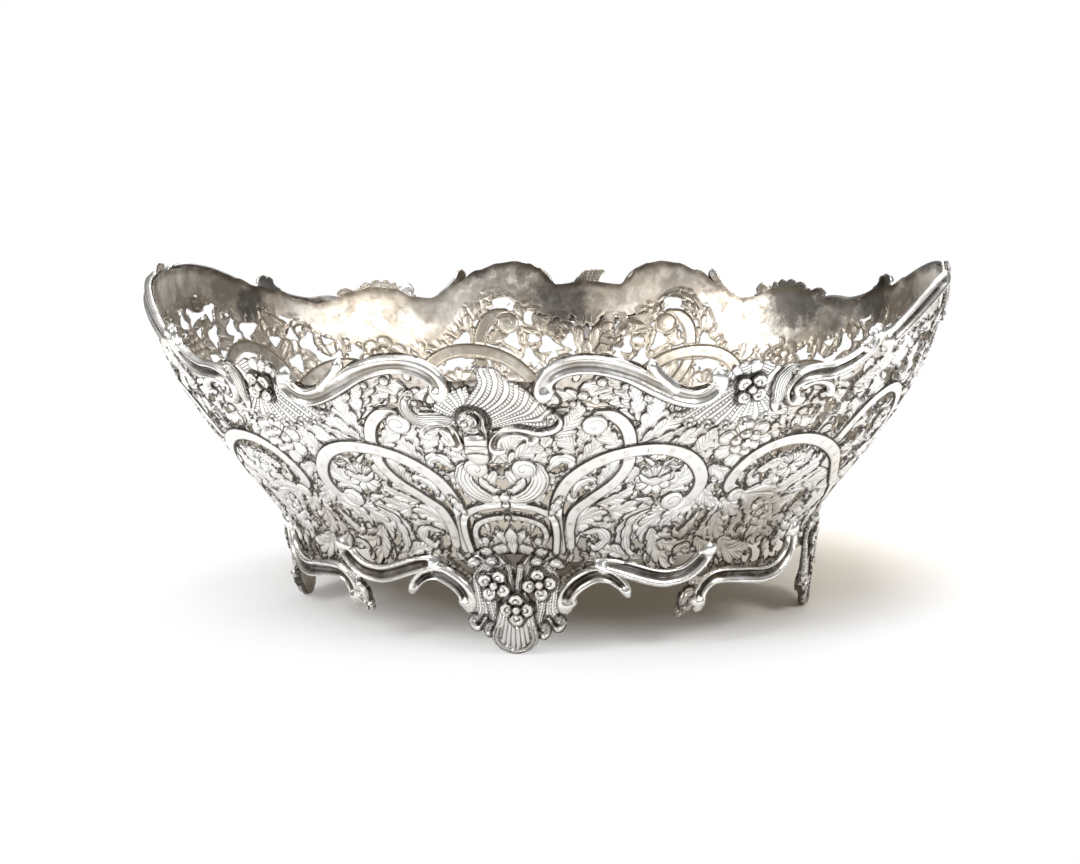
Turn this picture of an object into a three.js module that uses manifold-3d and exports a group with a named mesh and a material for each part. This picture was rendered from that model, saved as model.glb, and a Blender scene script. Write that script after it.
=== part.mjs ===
// A pierced and chased silver bread basket: an oval sheet bowl on four cast shell feet,
// with cast scrolls, shells and flowers applied along its rim and its foot border.
// Millimetres, +Z up, origin on the ground under the middle of the basket.
// +X runs along the basket, and the front with its asymmetric shell faces -Y.
import * as THREE from "three";
import { mergeVertices } from "three/addons/utils/BufferGeometryUtils.js";
import Module from "manifold-3d";

const wasm = await Module();
wasm.setup();

// Driving dimensions of the bowl.
const RIM_HALF_LENGTH = 170;
const RIM_HALF_WIDTH = 139;
const WAIST_HALF_LENGTH = 114;
const WAIST_HALF_WIDTH = 91;
const GROUND_HALF_LENGTH = 108.5;
const GROUND_HALF_WIDTH = 86;
const RIM_HEIGHT = 146;
const WAIST_HEIGHT = 39;
const SHEET = 1.0;
const PLATE_THICKNESS = 1.2;

// Clearances: solder gap under an applied casting, and between the plate and its seat.
const SOLDER_GAP = 0.5;
const PLATE_GAP = 0.3;

// Heights and widths of the castings.
const RAIL_THICKNESS = 3.4;
const RAIL_WIDTH = 7.4;
const FOOT_RAIL_WIDTH = 6.4;
const CURL_WIDTH = 4.2;
const SMALL_SCROLL_WIDTH = 3.2;
const SMALL_SCROLL_THICKNESS = 2.6;
const SHELL_THICKNESS = 2.6;
const FOOT_THICKNESS = 4.0;
const FLOWER_RADIUS = 6.2;
const FLOWER_HEIGHT = 2.4;
const ROSETTE_RADIUS = 4.9;
const ROSETTE_HEIGHT = 3.0;
const ROSETTE_PETALS = 4;
const HORN_WIDTH = 9.5;

// Mesh steps.
const WALL_COLUMNS = 84;
const WALL_ROWS = 7;
const RAIL_STEPS = 13;
const PLATE_SIDES = 72;

// The surface is drawn on a flat chart: s runs round the basket from the middle of the front,
// and v climbs the wall, from CHART_GROUND on the ground through 0 at the waist to CHART_RIM.
// Both are lengths on a basket of the chart's own size, so a shape drawn on it follows the bowl.
const CHART_HALF_LENGTH = 150;
const CHART_HALF_WIDTH = 121;
const CHART_GROUND = -39;
const CHART_RIM = 121;
const CHART_STEPS = 720;

// How far the wall has flared out at a share t of the height above the waist, from 0 to 1.
const FLARE_TURN = 1.62;
const FLARE_POWER = 1.15;
function flare(t) {
  return Math.pow(Math.max(0, Math.sin(FLARE_TURN * Math.min(Math.max(t, 0), 1.04))), FLARE_POWER);
}

// Half length and half width of the sheet's outer face at height z.
function ovalAt(z) {
  const up = flare((z - WAIST_HEIGHT) / (RIM_HEIGHT - WAIST_HEIGHT));
  const down = Math.min(0, z - WAIST_HEIGHT) / WAIST_HEIGHT;
  return [
    WAIST_HALF_LENGTH + (RIM_HALF_LENGTH - WAIST_HALF_LENGTH) * up +
      (WAIST_HALF_LENGTH - GROUND_HALF_LENGTH) * down,
    WAIST_HALF_WIDTH + (RIM_HALF_WIDTH - WAIST_HALF_WIDTH) * up +
      (WAIST_HALF_WIDTH - GROUND_HALF_WIDTH) * down,
  ];
}

// Running totals of a step length, for looking a chart length up as an angle or a height.
function lengths(from, to, stepLength) {
  const at = [from];
  const total = [0];
  for (let i = 1; i <= CHART_STEPS; i++) {
    at.push(from + ((to - from) * i) / CHART_STEPS);
    total.push(total[i - 1] + stepLength(at[i - 1], at[i]));
  }
  return { at, total };
}

function lookUp(keys, values, key) {
  let i = 1;
  while (i < keys.length - 1 && keys[i] < key) i++;
  const share = (key - keys[i - 1]) / (keys[i] - keys[i - 1]);
  return values[i - 1] + (values[i] - values[i - 1]) * share;
}

const around = lengths(0, Math.PI, (a, b) => {
  const m = (a + b) / 2;
  return Math.hypot(CHART_HALF_LENGTH * Math.cos(m), CHART_HALF_WIDTH * Math.sin(m)) * (b - a);
});
const HALF_ROUND = around.total[CHART_STEPS];
const END = HALF_ROUND / 2;

const MEAN_FLARE = (RIM_HALF_LENGTH - WAIST_HALF_LENGTH + RIM_HALF_WIDTH - WAIST_HALF_WIDTH) / 2;
const climb = lengths(0, 1, (a, b) => {
  return Math.hypot((RIM_HEIGHT - WAIST_HEIGHT) * (b - a), MEAN_FLARE * (flare(b) - flare(a)));
});

// Angle round the basket from the middle of the front, for a chart length s.
function angleOf(s) {
  const turns = Math.floor(s / (2 * HALF_ROUND));
  const rest = s - turns * 2 * HALF_ROUND;
  const mirrored = rest > HALF_ROUND;
  const angle = lookUp(around.total, around.at, mirrored ? 2 * HALF_ROUND - rest : rest);
  return (mirrored ? 2 * Math.PI - angle : angle) + turns * 2 * Math.PI;
}

// Height above the ground for a chart height v. Past the rim the last slope goes on.
function heightOf(v) {
  if (v < 0) return WAIST_HEIGHT * (1 - v / CHART_GROUND);
  const share = lookUp(climb.total, climb.at, (v / CHART_RIM) * climb.total[CHART_STEPS]);
  return WAIST_HEIGHT + (RIM_HEIGHT - WAIST_HEIGHT) * share;
}

function ovalPoint(angle, z) {
  const [halfLength, halfWidth] = ovalAt(z);
  return new THREE.Vector3(halfLength * Math.sin(angle), -halfWidth * Math.cos(angle), z);
}

// The outward normal of the sheet, from differences along and up the wall.
function wallNormal(angle, z) {
  const along = ovalPoint(angle + 0.001, z).sub(ovalPoint(angle - 0.001, z));
  const up = ovalPoint(angle, z + 0.1).sub(ovalPoint(angle, z - 0.1));
  return along.cross(up).normalize();
}

// A point of the chart, lifted off the sheet's outer face by a distance. Nothing reaches below
// the ground, which leaves each foot a flat sole.
function onWall(s, v, lift = 0) {
  const angle = angleOf(s);
  const z = heightOf(v);
  const point = ovalPoint(angle, z).addScaledVector(wallNormal(angle, z), lift);
  point.z = Math.max(0, point.z);
  return point;
}

// How wide one millimetre of chart length s really is at chart height v.
function chartScale(v) {
  return ovalAt(heightOf(v))[0] / CHART_HALF_LENGTH;
}

// Top edge of the sheet over one quarter, from the middle of the front to the end.
const RIM_EDGE = [
  [0, 97], [14, 95.5], [21, 97.5], [29, 103], [37, 105.3], [48, 102.5], [59, 95.6], [70, 90],
  [78, 92], [85, 96.5], [95, 98], [106, 96.5], [114, 93.5], [122, 92.5], [131, 96], [140, 101.5],
  [150, 104.5], [160, 109.5], [174, 115.5], [192, 119.6], [END, CHART_RIM],
];
// Bottom edge of the sheet over one quarter, hidden behind the foot scrolls.
const FOOT_EDGE = [
  [0, -10], [24, -9], [36, -3.5], [50, -3.5], [68, -6.5], [86, -9], [104, -7], [120, -8.5],
  [140, -11.5], [156, -11.5], [172, -8], [190, -9], [END, -10],
];

function quarterHeight(edge, s) {
  const round = ((s % HALF_ROUND) + HALF_ROUND) % HALF_ROUND;
  const quarter = Math.min(round, HALF_ROUND - round);
  let i = 1;
  while (i < edge.length - 1 && edge[i][0] < quarter) i++;
  const [s0, v0] = edge[i - 1];
  const [s1, v1] = edge[i];
  const t = Math.min(1, (quarter - s0) / (s1 - s0));
  return v0 + (v1 - v0) * t * t * (3 - 2 * t);
}

function geometryOf(points, triangles) {
  const geometry = new THREE.BufferGeometry();
  geometry.setAttribute("position", new THREE.Float32BufferAttribute(points.flatMap((p) => [p.x, p.y, p.z]), 3));
  geometry.setIndex(triangles);
  return geometry;
}

function solidOf(geometry) {
  const bare = geometry.clone();
  bare.deleteAttribute("normal");
  bare.deleteAttribute("uv");
  const merged = mergeVertices(bare, 1e-4);
  return new wasm.Manifold(
    new wasm.Mesh({
      numProp: 3,
      vertProperties: new Float32Array(merged.getAttribute("position").array),
      triVerts: new Uint32Array(merged.index.array),
    }),
  );
}

function geometryFrom(solid) {
  const mesh = solid.getMesh();
  const geometry = new THREE.BufferGeometry();
  geometry.setAttribute("position", new THREE.BufferAttribute(new Float32Array(mesh.vertProperties), 3));
  geometry.setIndex(new THREE.BufferAttribute(new Uint32Array(mesh.triVerts), 1));
  return geometry;
}

// The sheet as a closed ring: outer face, top edge, inner face and bottom edge in one loop of
// rows, repeated round the oval. One row runs along the waist, where the profile turns sharply.
function sheetRing() {
  const loop = [];
  for (let i = -1; i <= WALL_ROWS; i++) loop.push([i / WALL_ROWS, 0]);
  for (let i = WALL_ROWS; i >= -1; i--) loop.push([i / WALL_ROWS, -SHEET]);
  const points = [];
  const triangles = [];
  for (let c = 0; c < WALL_COLUMNS; c++) {
    const s = (2 * HALF_ROUND * c) / WALL_COLUMNS;
    const low = quarterHeight(FOOT_EDGE, s);
    const high = quarterHeight(RIM_EDGE, s);
    for (const [share, lift] of loop) points.push(onWall(s, share < 0 ? low : high * share, lift));
  }
  for (let c = 0; c < WALL_COLUMNS; c++) {
    const here = c * loop.length;
    const next = ((c + 1) % WALL_COLUMNS) * loop.length;
    for (let r = 0; r < loop.length; r++) {
      const up = (r + 1) % loop.length;
      triangles.push(here + r, next + r, next + up, here + r, next + up, here + up);
    }
  }
  return geometryOf(points, triangles);
}

// The larger piercings of one quarter: chart place, length, width, and lean from upright in degrees.
const PIERCINGS = [
  [9, 9, 8, 5, 0], [22, 52, 8, 5, 40], [31, 67, 8, 5, 20], [44, 88, 9, 5, 75], [40, 49, 9, 5, 45],
  [54, 26, 15, 7, 10], [66, 52, 9, 5, 80], [72, 2, 6, 8, 0], [78, 44, 8, 5, 30], [91, 48, 9, 5, 60],
  [93, 3, 6, 7, 0], [108, 72, 8, 5, 45], [112, 12, 8, 5, 30], [124, 80, 8, 5, 0], [128, 40, 9, 6, 60],
  [138, 66, 10, 6, 30], [146, 20, 9, 6, 45], [158, 86, 11, 6, 10], [165, 52, 10, 6, 20],
  [176, 24, 9, 6, 150], [184, 92, 12, 6, 0], [192, 62, 10, 6, 160], [205, 36, 9, 5, 0],
];
const PIERCING_SIDES = 6;
const PIERCING_DEPTH = 8;

// A cutter that crosses the sheet square to it, with an oval outline of a few sides.
function piercingCutter(s, v, length, width, lean) {
  const outline = new THREE.Shape();
  for (let i = 0; i < PIERCING_SIDES; i++) {
    const turn = (2 * Math.PI * i) / PIERCING_SIDES;
    const x = (width / 2) * Math.cos(turn);
    const y = (length / 2) * Math.sin(turn);
    if (i) outline.lineTo(x, y);
    else outline.moveTo(x, y);
  }
  const prism = new THREE.ExtrudeGeometry(outline, { depth: PIERCING_DEPTH, bevelEnabled: false });
  prism.translate(0, 0, -PIERCING_DEPTH / 2);
  prism.rotateZ((-lean * Math.PI) / 180);
  const angle = angleOf(s);
  const z = heightOf(v);
  const out = wallNormal(angle, z);
  const level = new THREE.Vector3(0, 0, 1).cross(out).normalize();
  const up = out.clone().cross(level);
  const place = new THREE.Matrix4().makeBasis(level, up, out);
  place.setPosition(onWall(s, v, -SHEET / 2));
  return solidOf(prism.applyMatrix4(place));
}

function piercedWall() {
  const cutters = [];
  for (const [s, v, length, width, lean] of PIERCINGS) {
    for (const half of [0, HALF_ROUND]) {
      cutters.push(piercingCutter(half + s, v, length, width, lean));
      cutters.push(piercingCutter(half - s, v, length, width, -lean));
    }
  }
  return geometryFrom(solidOf(sheetRing()).subtract(wasm.Manifold.union(cutters)));
}

// The floor of the bowl: an oval plate let into the waist, where the foot ring below is narrower.
function basePlate() {
  const [halfLength, halfWidth] = ovalAt(WAIST_HEIGHT);
  const inset = SHEET + PLATE_GAP;
  const outline = new THREE.Shape();
  for (let i = 0; i < PLATE_SIDES; i++) {
    const turn = (2 * Math.PI * i) / PLATE_SIDES;
    const x = (halfLength - inset) * Math.cos(turn);
    const y = (halfWidth - inset) * Math.sin(turn);
    if (i) outline.lineTo(x, y);
    else outline.moveTo(x, y);
  }
  const plate = new THREE.ExtrudeGeometry(outline, { depth: PLATE_THICKNESS, bevelEnabled: false });
  return plate.translate(0, 0, WAIST_HEIGHT);
}

// Half-round section of a scroll: share of the width across, and share of the thickness out.
const RAIL_SECTION = [[-0.5, 0], [-0.44, 0.6], [-0.18, 1], [0.18, 1], [0.44, 0.6], [0.5, 0]];

// A cast scroll: the half-round section swept along a chart curve, bent to lie on the sheet.
// Its width swells from the curls to the middle.
function scroll(path, width, curlWidth, thickness, steps = RAIL_STEPS) {
  const curve = new THREE.SplineCurve(path.map(([s, v]) => new THREE.Vector2(s, v)));
  const places = curve.getSpacedPoints(steps);
  const points = [];
  const triangles = [];
  const ring = RAIL_SECTION.length;
  places.forEach((p, i) => {
    const before = places[Math.max(0, i - 1)];
    const after = places[Math.min(steps, i + 1)];
    const k = chartScale(p.y);
    const along = [(after.x - before.x) * k, after.y - before.y];
    const length = Math.hypot(...along);
    const swell = Math.sin((Math.PI * i) / steps);
    const w = curlWidth + (width - curlWidth) * swell;
    const t = thickness * (0.75 + 0.25 * swell);
    for (const [a, n] of RAIL_SECTION) {
      const s = p.x + (a * w * along[1]) / length / k;
      const v = p.y - (a * w * along[0]) / length;
      points.push(onWall(s, v, SOLDER_GAP + n * t));
    }
  });
  for (let i = 0; i < steps; i++) {
    for (let r = 0; r < ring; r++) {
      const up = (r + 1) % ring;
      const [a, b, c, d] = [i * ring + r, i * ring + up, (i + 1) * ring + up, (i + 1) * ring + r];
      triangles.push(a, b, c, a, c, d);
    }
  }
  for (let r = 1; r < ring - 1; r++) {
    triangles.push(0, r + 1, r);
    const last = steps * ring;
    triangles.push(last, last + r, last + r + 1);
  }
  return geometryOf(points, triangles);
}

// A cast plate lying on the sheet: a star-shaped chart outline, with rings between its middle
// and its edge that give its relief. Each ring is a share of the outline and a height.
// The back has its own rings, so that a wide plate still follows the sheet behind it.
function plate([cs, cv], outline, frontRings, backRings, lift) {
  const sides = outline.length;
  const points = [];
  const triangles = [];
  const edges = [];
  for (const [face, rings] of [frontRings, backRings].entries()) {
    const start = points.length;
    points.push(onWall(cs, cv, lift + rings[0][1]));
    for (const [share, height] of rings) {
      for (const [s, v] of outline) {
        points.push(onWall(cs + (s - cs) * share, cv + (v - cv) * share, lift + height));
      }
    }
    const push = (a, b, c) => (face ? triangles.push(a, c, b) : triangles.push(a, b, c));
    for (let i = 0; i < sides; i++) {
      const next = (i + 1) % sides;
      push(start, start + 1 + i, start + 1 + next);
      for (let k = 1; k < rings.length; k++) {
        const low = start + 1 + (k - 1) * sides;
        const high = low + sides;
        push(low + i, high + i, high + next);
        push(low + i, high + next, low + next);
      }
    }
    edges.push(points.length - sides);
  }
  const [edge, back] = edges;
  for (let i = 0; i < sides; i++) {
    const next = (i + 1) % sides;
    triangles.push(edge + i, back + i, back + next, edge + i, back + next, edge + next);
  }
  return geometryOf(points, triangles);
}

const moved = (points, s) => points.map(([x, v]) => [x + s, v]);
const flipped = (points) => points.map(([s, v]) => [-s, v]).reverse();

// A chart outline that runs anticlockwise, so that the plate's face points outwards.
function anticlockwise(points) {
  return THREE.ShapeUtils.isClockWise(points.map(([s, v]) => new THREE.Vector2(s, v)))
    ? [...points].reverse()
    : points;
}

// A flower outline in true millimetres round a chart place.
function flowerOutline([s, v], radius, petals, sidesPerPetal = 4, depth = 0.2) {
  const sides = petals * sidesPerPetal;
  return Array.from({ length: sides }, (_, i) => {
    const turn = (2 * Math.PI * i) / sides;
    const r = radius * (1 - depth + depth * Math.cos(petals * turn));
    return [s + (r * Math.cos(turn)) / chartScale(v), v + r * Math.sin(turn)];
  });
}

// Chart routes of the scrolls over one quarter, from the middle of the front outwards.
const RIM_SCROLL = [
  [20, 89.5], [20.8, 95], [26.5, 100.3], [36, 102.2], [46, 100], [55.5, 94.3], [65, 88], [73.5, 86.4],
  [80, 90], [81.5, 95],
];
const END_SCROLL = [
  [111, 82.5], [110.5, 88], [116, 91.5], [125, 92], [134, 95.5], [141, 100.5], [145, 106], [145.5, 111],
];
const CREST_SCROLL = [[151, 102], [159, 106], [171, 112], [183, 116], [194, 118], [202, 118]];
const FOOT_SCROLL_INNER = [
  [32, -18.5], [26.5, -15.5], [26, -8], [32, -3.3], [44, -2.2], [58, -4.2], [72, -8], [84, -9.2],
  [94, -6.5], [100, -1], [101, 6],
];
const FOOT_SCROLL_OUTER = [
  [90, -25], [96, -19.5], [105, -14.5], [116, -12.3], [130, -12.5], [144, -14.5], [156, -14],
  [166, -9.5], [171, -2], [171, 5],
];
const SHELL_SCROLL_LEFT = [[-29, 71.5], [-25.5, 75.3], [-19.5, 75.6], [-15.2, 71.5], [-14.4, 65.5]];
const SHELL_SCROLL_RIGHT = [[0.6, 65.5], [2, 71.5], [7, 75.6], [13, 74.4], [16, 70]];
const SHELL_HORN = [[-6.6, 77], [-7.1, 71], [-7.6, 65], [-8, 59]];

// Chart outlines of the plates. The rim shell leans, as asymmetric shells of this style do.
const RIM_SHELL = [
  [-33, 82.5], [-30.5, 85.5], [-26, 85.3], [-22, 83.6], [-15.5, 87.5], [-12.5, 94], [-8.5, 99], [-5, 104.5], [0, 107.8],
  [4.5, 104], [7.5, 98.5], [12, 95], [14.5, 91], [15.5, 86], [19.5, 84], [24, 82.5], [24, 78.5],
  [20, 77.2], [12, 79], [4, 80.8], [-2, 81.6], [-9, 82], [-15, 81], [-22, 80], [-29, 79.3],
];
const RIM_SHELL_MIDDLE = [-4, 89];
const CARTOUCHE = [
  [85, 96], [88, 100.5], [94, 102], [100, 101], [105, 98], [107, 93], [106.5, 87], [104, 81],
  [99, 76.8], [91, 74], [83, 73], [75, 73.8], [69, 76], [68.5, 79], [74, 80.8], [80, 81.6],
  [84, 84.5], [85.3, 90],
];
const CARTOUCHE_MIDDLE = [92, 86];
const CARTOUCHE_FLOWER = [94, 89];
const END_SHELL = [
  [0, 125], [3.5, 124.2], [6.5, 121.5], [8, 117], [8.5, 111], [7, 105], [4, 100.5], [0, 98.5],
  [-4, 100.5], [-7, 105], [-8.5, 111], [-8, 117], [-6.5, 121.5], [-3.5, 124.2],
];
const END_SHELL_MIDDLE = [0, 112];
const FOOT_SHELL_RIGHT = [
  [0, -2], [7, -0.6], [14, -0.6], [20, -2], [20.5, -6], [19.5, -11], [20.5, -17], [25, -21.5], [25.5, -26.5],
  [20.5, -28.5], [19, -32], [13, -33], [9.5, -36.5], [5, CHART_GROUND],
];
const FOOT_SHELL = [...FOOT_SHELL_RIGHT, ...flipped(FOOT_SHELL_RIGHT).slice(0, -1)];
const FOOT_SHELL_MIDDLE = [0, -16];
const FOOT_ROSETTES = { left: [-11, -8], right: [11, -8], lower: [0, -20.5] };

// Relief of the plates: share of the outline, and share of the plate's thickness.
const SHELL_RINGS = [[0.5, 1], [1, 0.55]];
const FOOT_RINGS = [[0.5, 0.85], [1, 0.75]];
const ROSETTE_RINGS = [[0.36, 1], [0.45, 0.5], [1, 0.35]];
const FLAT_BACK = [[1, 0]];
const CURVED_BACK = [[0.5, 0], [1, 0]];

const silver = { color: 0xd9d6cf, metalness: 1, roughness: 0.28 };
const scaled = (rings, height) => rings.map(([share, h]) => [share, h * height]);
const basket = new THREE.Group();

function add(name, geometry, look = {}) {
  const mesh = new THREE.Mesh(geometry, new THREE.MeshStandardMaterial({ ...silver, ...look }));
  mesh.name = name;
  basket.add(mesh);
}

add("pierced_wall", piercedWall());
add("base_plate", basePlate(), { roughness: 0.4 });

// The four quarters: where the chart starts, and whether the quarter is mirrored.
const QUARTERS = [
  { name: "front_right", start: 0, mirrored: false },
  { name: "front_left", start: 0, mirrored: true },
  { name: "back_left", start: HALF_ROUND, mirrored: false },
  { name: "back_right", start: HALF_ROUND, mirrored: true },
];
for (const { name, start, mirrored } of QUARTERS) {
  const place = (points) => moved(mirrored ? flipped(points) : points, start);
  add(`rim_scroll_${name}`, scroll(place(RIM_SCROLL), RAIL_WIDTH, CURL_WIDTH, RAIL_THICKNESS));
  add(`rim_end_scroll_${name}`, scroll(place(END_SCROLL), RAIL_WIDTH - 1.4, CURL_WIDTH, RAIL_THICKNESS));
  add(`rim_crest_scroll_${name}`, scroll(place(CREST_SCROLL), RAIL_WIDTH, CURL_WIDTH, RAIL_THICKNESS));
  add(`foot_scroll_inner_${name}`, scroll(place(FOOT_SCROLL_INNER), FOOT_RAIL_WIDTH, CURL_WIDTH, RAIL_THICKNESS));
  add(`foot_scroll_outer_${name}`, scroll(place(FOOT_SCROLL_OUTER), FOOT_RAIL_WIDTH, CURL_WIDTH, RAIL_THICKNESS));
  const [middle] = place([CARTOUCHE_MIDDLE]);
  const outline = anticlockwise(place(CARTOUCHE));
  add(`rim_cartouche_${name}`, plate(middle, outline, scaled(SHELL_RINGS, SHELL_THICKNESS), CURVED_BACK, SOLDER_GAP));
  const [flower] = place([CARTOUCHE_FLOWER]);
  add(
    `cartouche_flower_${name}`,
    plate(
      flower,
      flowerOutline(flower, FLOWER_RADIUS, ROSETTE_PETALS),
      scaled(ROSETTE_RINGS, FLOWER_HEIGHT),
      FLAT_BACK,
      SHELL_THICKNESS + 2 * SOLDER_GAP,
    ),
  );
}

// The asymmetric shells at the middle of the front and of the back, with what hangs from them.
for (const { name, start } of [{ name: "front", start: 0 }, { name: "back", start: HALF_ROUND }]) {
  const small = (points) => scroll(moved(points, start), SMALL_SCROLL_WIDTH, SMALL_SCROLL_WIDTH, SMALL_SCROLL_THICKNESS, 9);
  const [middle] = moved([RIM_SHELL_MIDDLE], start);
  const outline = anticlockwise(moved(RIM_SHELL, start));
  add(`rim_shell_${name}`, plate(middle, outline, scaled(SHELL_RINGS, SHELL_THICKNESS), CURVED_BACK, SOLDER_GAP));
  add(`shell_scroll_left_${name}`, small(SHELL_SCROLL_LEFT));
  add(`shell_scroll_right_${name}`, small(SHELL_SCROLL_RIGHT));
  add(`shell_horn_${name}`, scroll(moved(SHELL_HORN, start), HORN_WIDTH, HORN_WIDTH - 2, RAIL_THICKNESS, 5));
}

// Small shells on the middle of the raised ends.
for (const { name, start } of [{ name: "right", start: END }, { name: "left", start: END + HALF_ROUND }]) {
  const [middle] = moved([END_SHELL_MIDDLE], start);
  const outline = anticlockwise(moved(END_SHELL, start));
  add(`rim_end_shell_${name}`, plate(middle, outline, scaled(SHELL_RINGS, SHELL_THICKNESS), CURVED_BACK, SOLDER_GAP));
}

// The four shell feet, each with three rosettes.
const FEET = [
  { name: "front", start: 0 },
  { name: "right", start: END },
  { name: "back", start: HALF_ROUND },
  { name: "left", start: END + HALF_ROUND },
];
for (const { name, start } of FEET) {
  const [middle] = moved([FOOT_SHELL_MIDDLE], start);
  const outline = anticlockwise(moved(FOOT_SHELL, start));
  add(`foot_shell_${name}`, plate(middle, outline, scaled(FOOT_RINGS, FOOT_THICKNESS), CURVED_BACK, SOLDER_GAP));
  for (const [side, spot] of Object.entries(FOOT_ROSETTES)) {
    const [centre] = moved([spot], start);
    add(
      `foot_rosette_${side}_${name}`,
      plate(
        centre,
        flowerOutline(centre, ROSETTE_RADIUS, ROSETTE_PETALS),
        scaled(ROSETTE_RINGS, ROSETTE_HEIGHT),
        FLAT_BACK,
        FOOT_THICKNESS * FOOT_RINGS[0][1] + 2 * SOLDER_GAP,
      ),
    );
  }
}

export default basket;
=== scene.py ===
"""A pierced and chased silver bread basket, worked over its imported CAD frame.

Everything on the bowl is drawn on a flat chart of its wall: s runs round the basket from the middle
of the front and v climbs the wall from the waist, both in millimetres. Worked shapes (bands, sprays,
leaves, flowers) are painted on the chart as depth inside their outlines, and the chart is then bent
onto the bowl as a closed sheet.
"""

import bpy
import numpy as np
from mathutils import Matrix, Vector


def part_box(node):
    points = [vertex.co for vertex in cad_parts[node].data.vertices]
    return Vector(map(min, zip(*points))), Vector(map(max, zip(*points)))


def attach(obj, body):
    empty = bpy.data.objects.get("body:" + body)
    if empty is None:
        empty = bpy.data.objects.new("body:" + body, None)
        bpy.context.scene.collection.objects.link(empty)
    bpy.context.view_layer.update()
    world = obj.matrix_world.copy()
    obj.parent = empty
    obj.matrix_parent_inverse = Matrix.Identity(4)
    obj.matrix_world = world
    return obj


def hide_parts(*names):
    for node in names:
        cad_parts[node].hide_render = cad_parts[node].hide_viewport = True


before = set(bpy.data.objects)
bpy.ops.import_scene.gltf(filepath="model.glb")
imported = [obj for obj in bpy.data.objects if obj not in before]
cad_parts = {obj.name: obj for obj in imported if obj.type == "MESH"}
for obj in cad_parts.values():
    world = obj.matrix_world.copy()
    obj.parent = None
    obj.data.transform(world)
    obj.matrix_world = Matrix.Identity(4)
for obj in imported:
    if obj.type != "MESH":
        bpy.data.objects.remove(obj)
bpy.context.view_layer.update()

bl_info = {
    "name": "Pierced silver bread basket",
    "version": (1, 0, 0),
    "blender": (4, 5, 0),
    "location": "3D View > Sidebar > Basket",
    "description": "Works the sheet, castings, feet and studio of a pierced silver bread basket",
    "category": "Add Mesh",
}

MM = 0.001

# The bowl, in millimetres, as in the CAD source.
RIM_HALF = (170.0, 139.0)
WAIST_HALF = (114.0, 91.0)
GROUND_HALF = (108.5, 86.0)
RIM_HEIGHT = 146.0
WAIST_HEIGHT = 39.0
FLARE_TURN = 1.62
FLARE_POWER = 1.15
WALL_RISE = RIM_HEIGHT - WAIST_HEIGHT
FLARE_LIMIT = 1.04      # highest share of the height that the flare is worked out for

# The chart's reference oval and its lowest and highest lines.
CHART_HALF = (150.0, 121.0)
CHART_GROUND = -39.0
CHART_RIM = 121.0
PAST_RIM = 1.03         # share of CHART_RIM above which the wall climbs straight on
TABLE_STEPS = 4000
SHEET_PARTS = 8         # pieces that the round of the sheet is cut into
BACK_RELIEF = 0.55      # share of the relief that the sheet's back shows

# Edge lines over one quarter, from the middle of the front to the end: places along s, and v there.
RIM_EDGE = np.array([
    (0, 97), (14, 95.5), (18, 99), (21, 103.4), (26, 106), (32, 107.2), (39, 106.4), (48, 103.4),
    (59, 96.6), (70, 90.8), (78, 92), (85, 96.5), (95, 98), (106, 96.5), (114, 93.5), (122, 92.5),
    (131, 96), (140, 101.5), (150, 104.5), (160, 109.5), (174, 115.5), (192, 119.6), (214, 121),
], float)
FOOT_EDGE = np.array([
    (0, -10), (24, -9), (36, -3.5), (50, -3.5), (68, -6.5), (86, -9), (104, -7), (120, -8.5),
    (140, -11.5), (156, -11.5), (172, -8), (190, -9), (214, -10),
], float)
PLAIN_EDGE = np.array([  # lower edge of the unpierced band under the rim, which the castings cover outside
    (0, 77), (20, 79), (28, 87), (36, 92), (46, 91), (54, 83), (62, 73), (75, 68.5), (92, 69),
    (108, 70.5), (116, 75), (124, 80), (134, 85), (146, 91), (160, 96), (180, 102), (200, 104.5),
    (214, 105.5),
], float)


def flare(t):
    """Share of the flare reached at a share t of the height: a sine of t, raised to a power."""
    return np.maximum(0, np.sin(FLARE_TURN * np.clip(t, 0, FLARE_LIMIT))) ** FLARE_POWER


def oval_at(z):
    """Half length and half width of the sheet's outer face at height z: waist plus flare."""
    up = flare((z - WAIST_HEIGHT) / WALL_RISE)
    down = np.minimum(0, z - WAIST_HEIGHT) / WAIST_HEIGHT
    return [w + (r - w) * up + (w - g) * down for r, w, g in zip(RIM_HALF, WAIST_HALF, GROUND_HALF)]


def running_total(steps):
    """Sums of the steps so far, from 0 on."""
    return np.concatenate([[0], np.cumsum(steps)])


def run_along(line):
    """Distance from a line's start to each of its points."""
    return running_total(np.hypot(*np.diff(line, axis=0).T))


def eased(t):
    """From 0 to 1 as t does, but level at both ends: a cubic."""
    return t * t * (3 - 2 * t)


def domed(out):
    """Height of a half round whose radius is 1, at a distance out from its middle."""
    return np.sqrt(np.clip(1 - out**2, 0, 1))


TURN_TABLE = np.linspace(0, np.pi, TABLE_STEPS + 1)
MID_TURN = (TURN_TABLE[1:] + TURN_TABLE[:-1]) / 2
ROUND_TABLE = running_total(
    np.hypot(CHART_HALF[0] * np.cos(MID_TURN), CHART_HALF[1] * np.sin(MID_TURN)) * np.diff(TURN_TABLE)
)
HALF_ROUND = ROUND_TABLE[-1]
END = HALF_ROUND / 2
MEAN_FLARE = sum(r - w for r, w in zip(RIM_HALF, WAIST_HALF)) / 2
SHARE_TABLE = np.linspace(0, FLARE_LIMIT, TABLE_STEPS + 1)
CLIMB_TABLE = running_total(
    np.hypot(WALL_RISE * np.diff(SHARE_TABLE), MEAN_FLARE * np.diff(flare(SHARE_TABLE)))
)
CLIMB_RIM = np.interp(1.0, SHARE_TABLE, CLIMB_TABLE)


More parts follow.
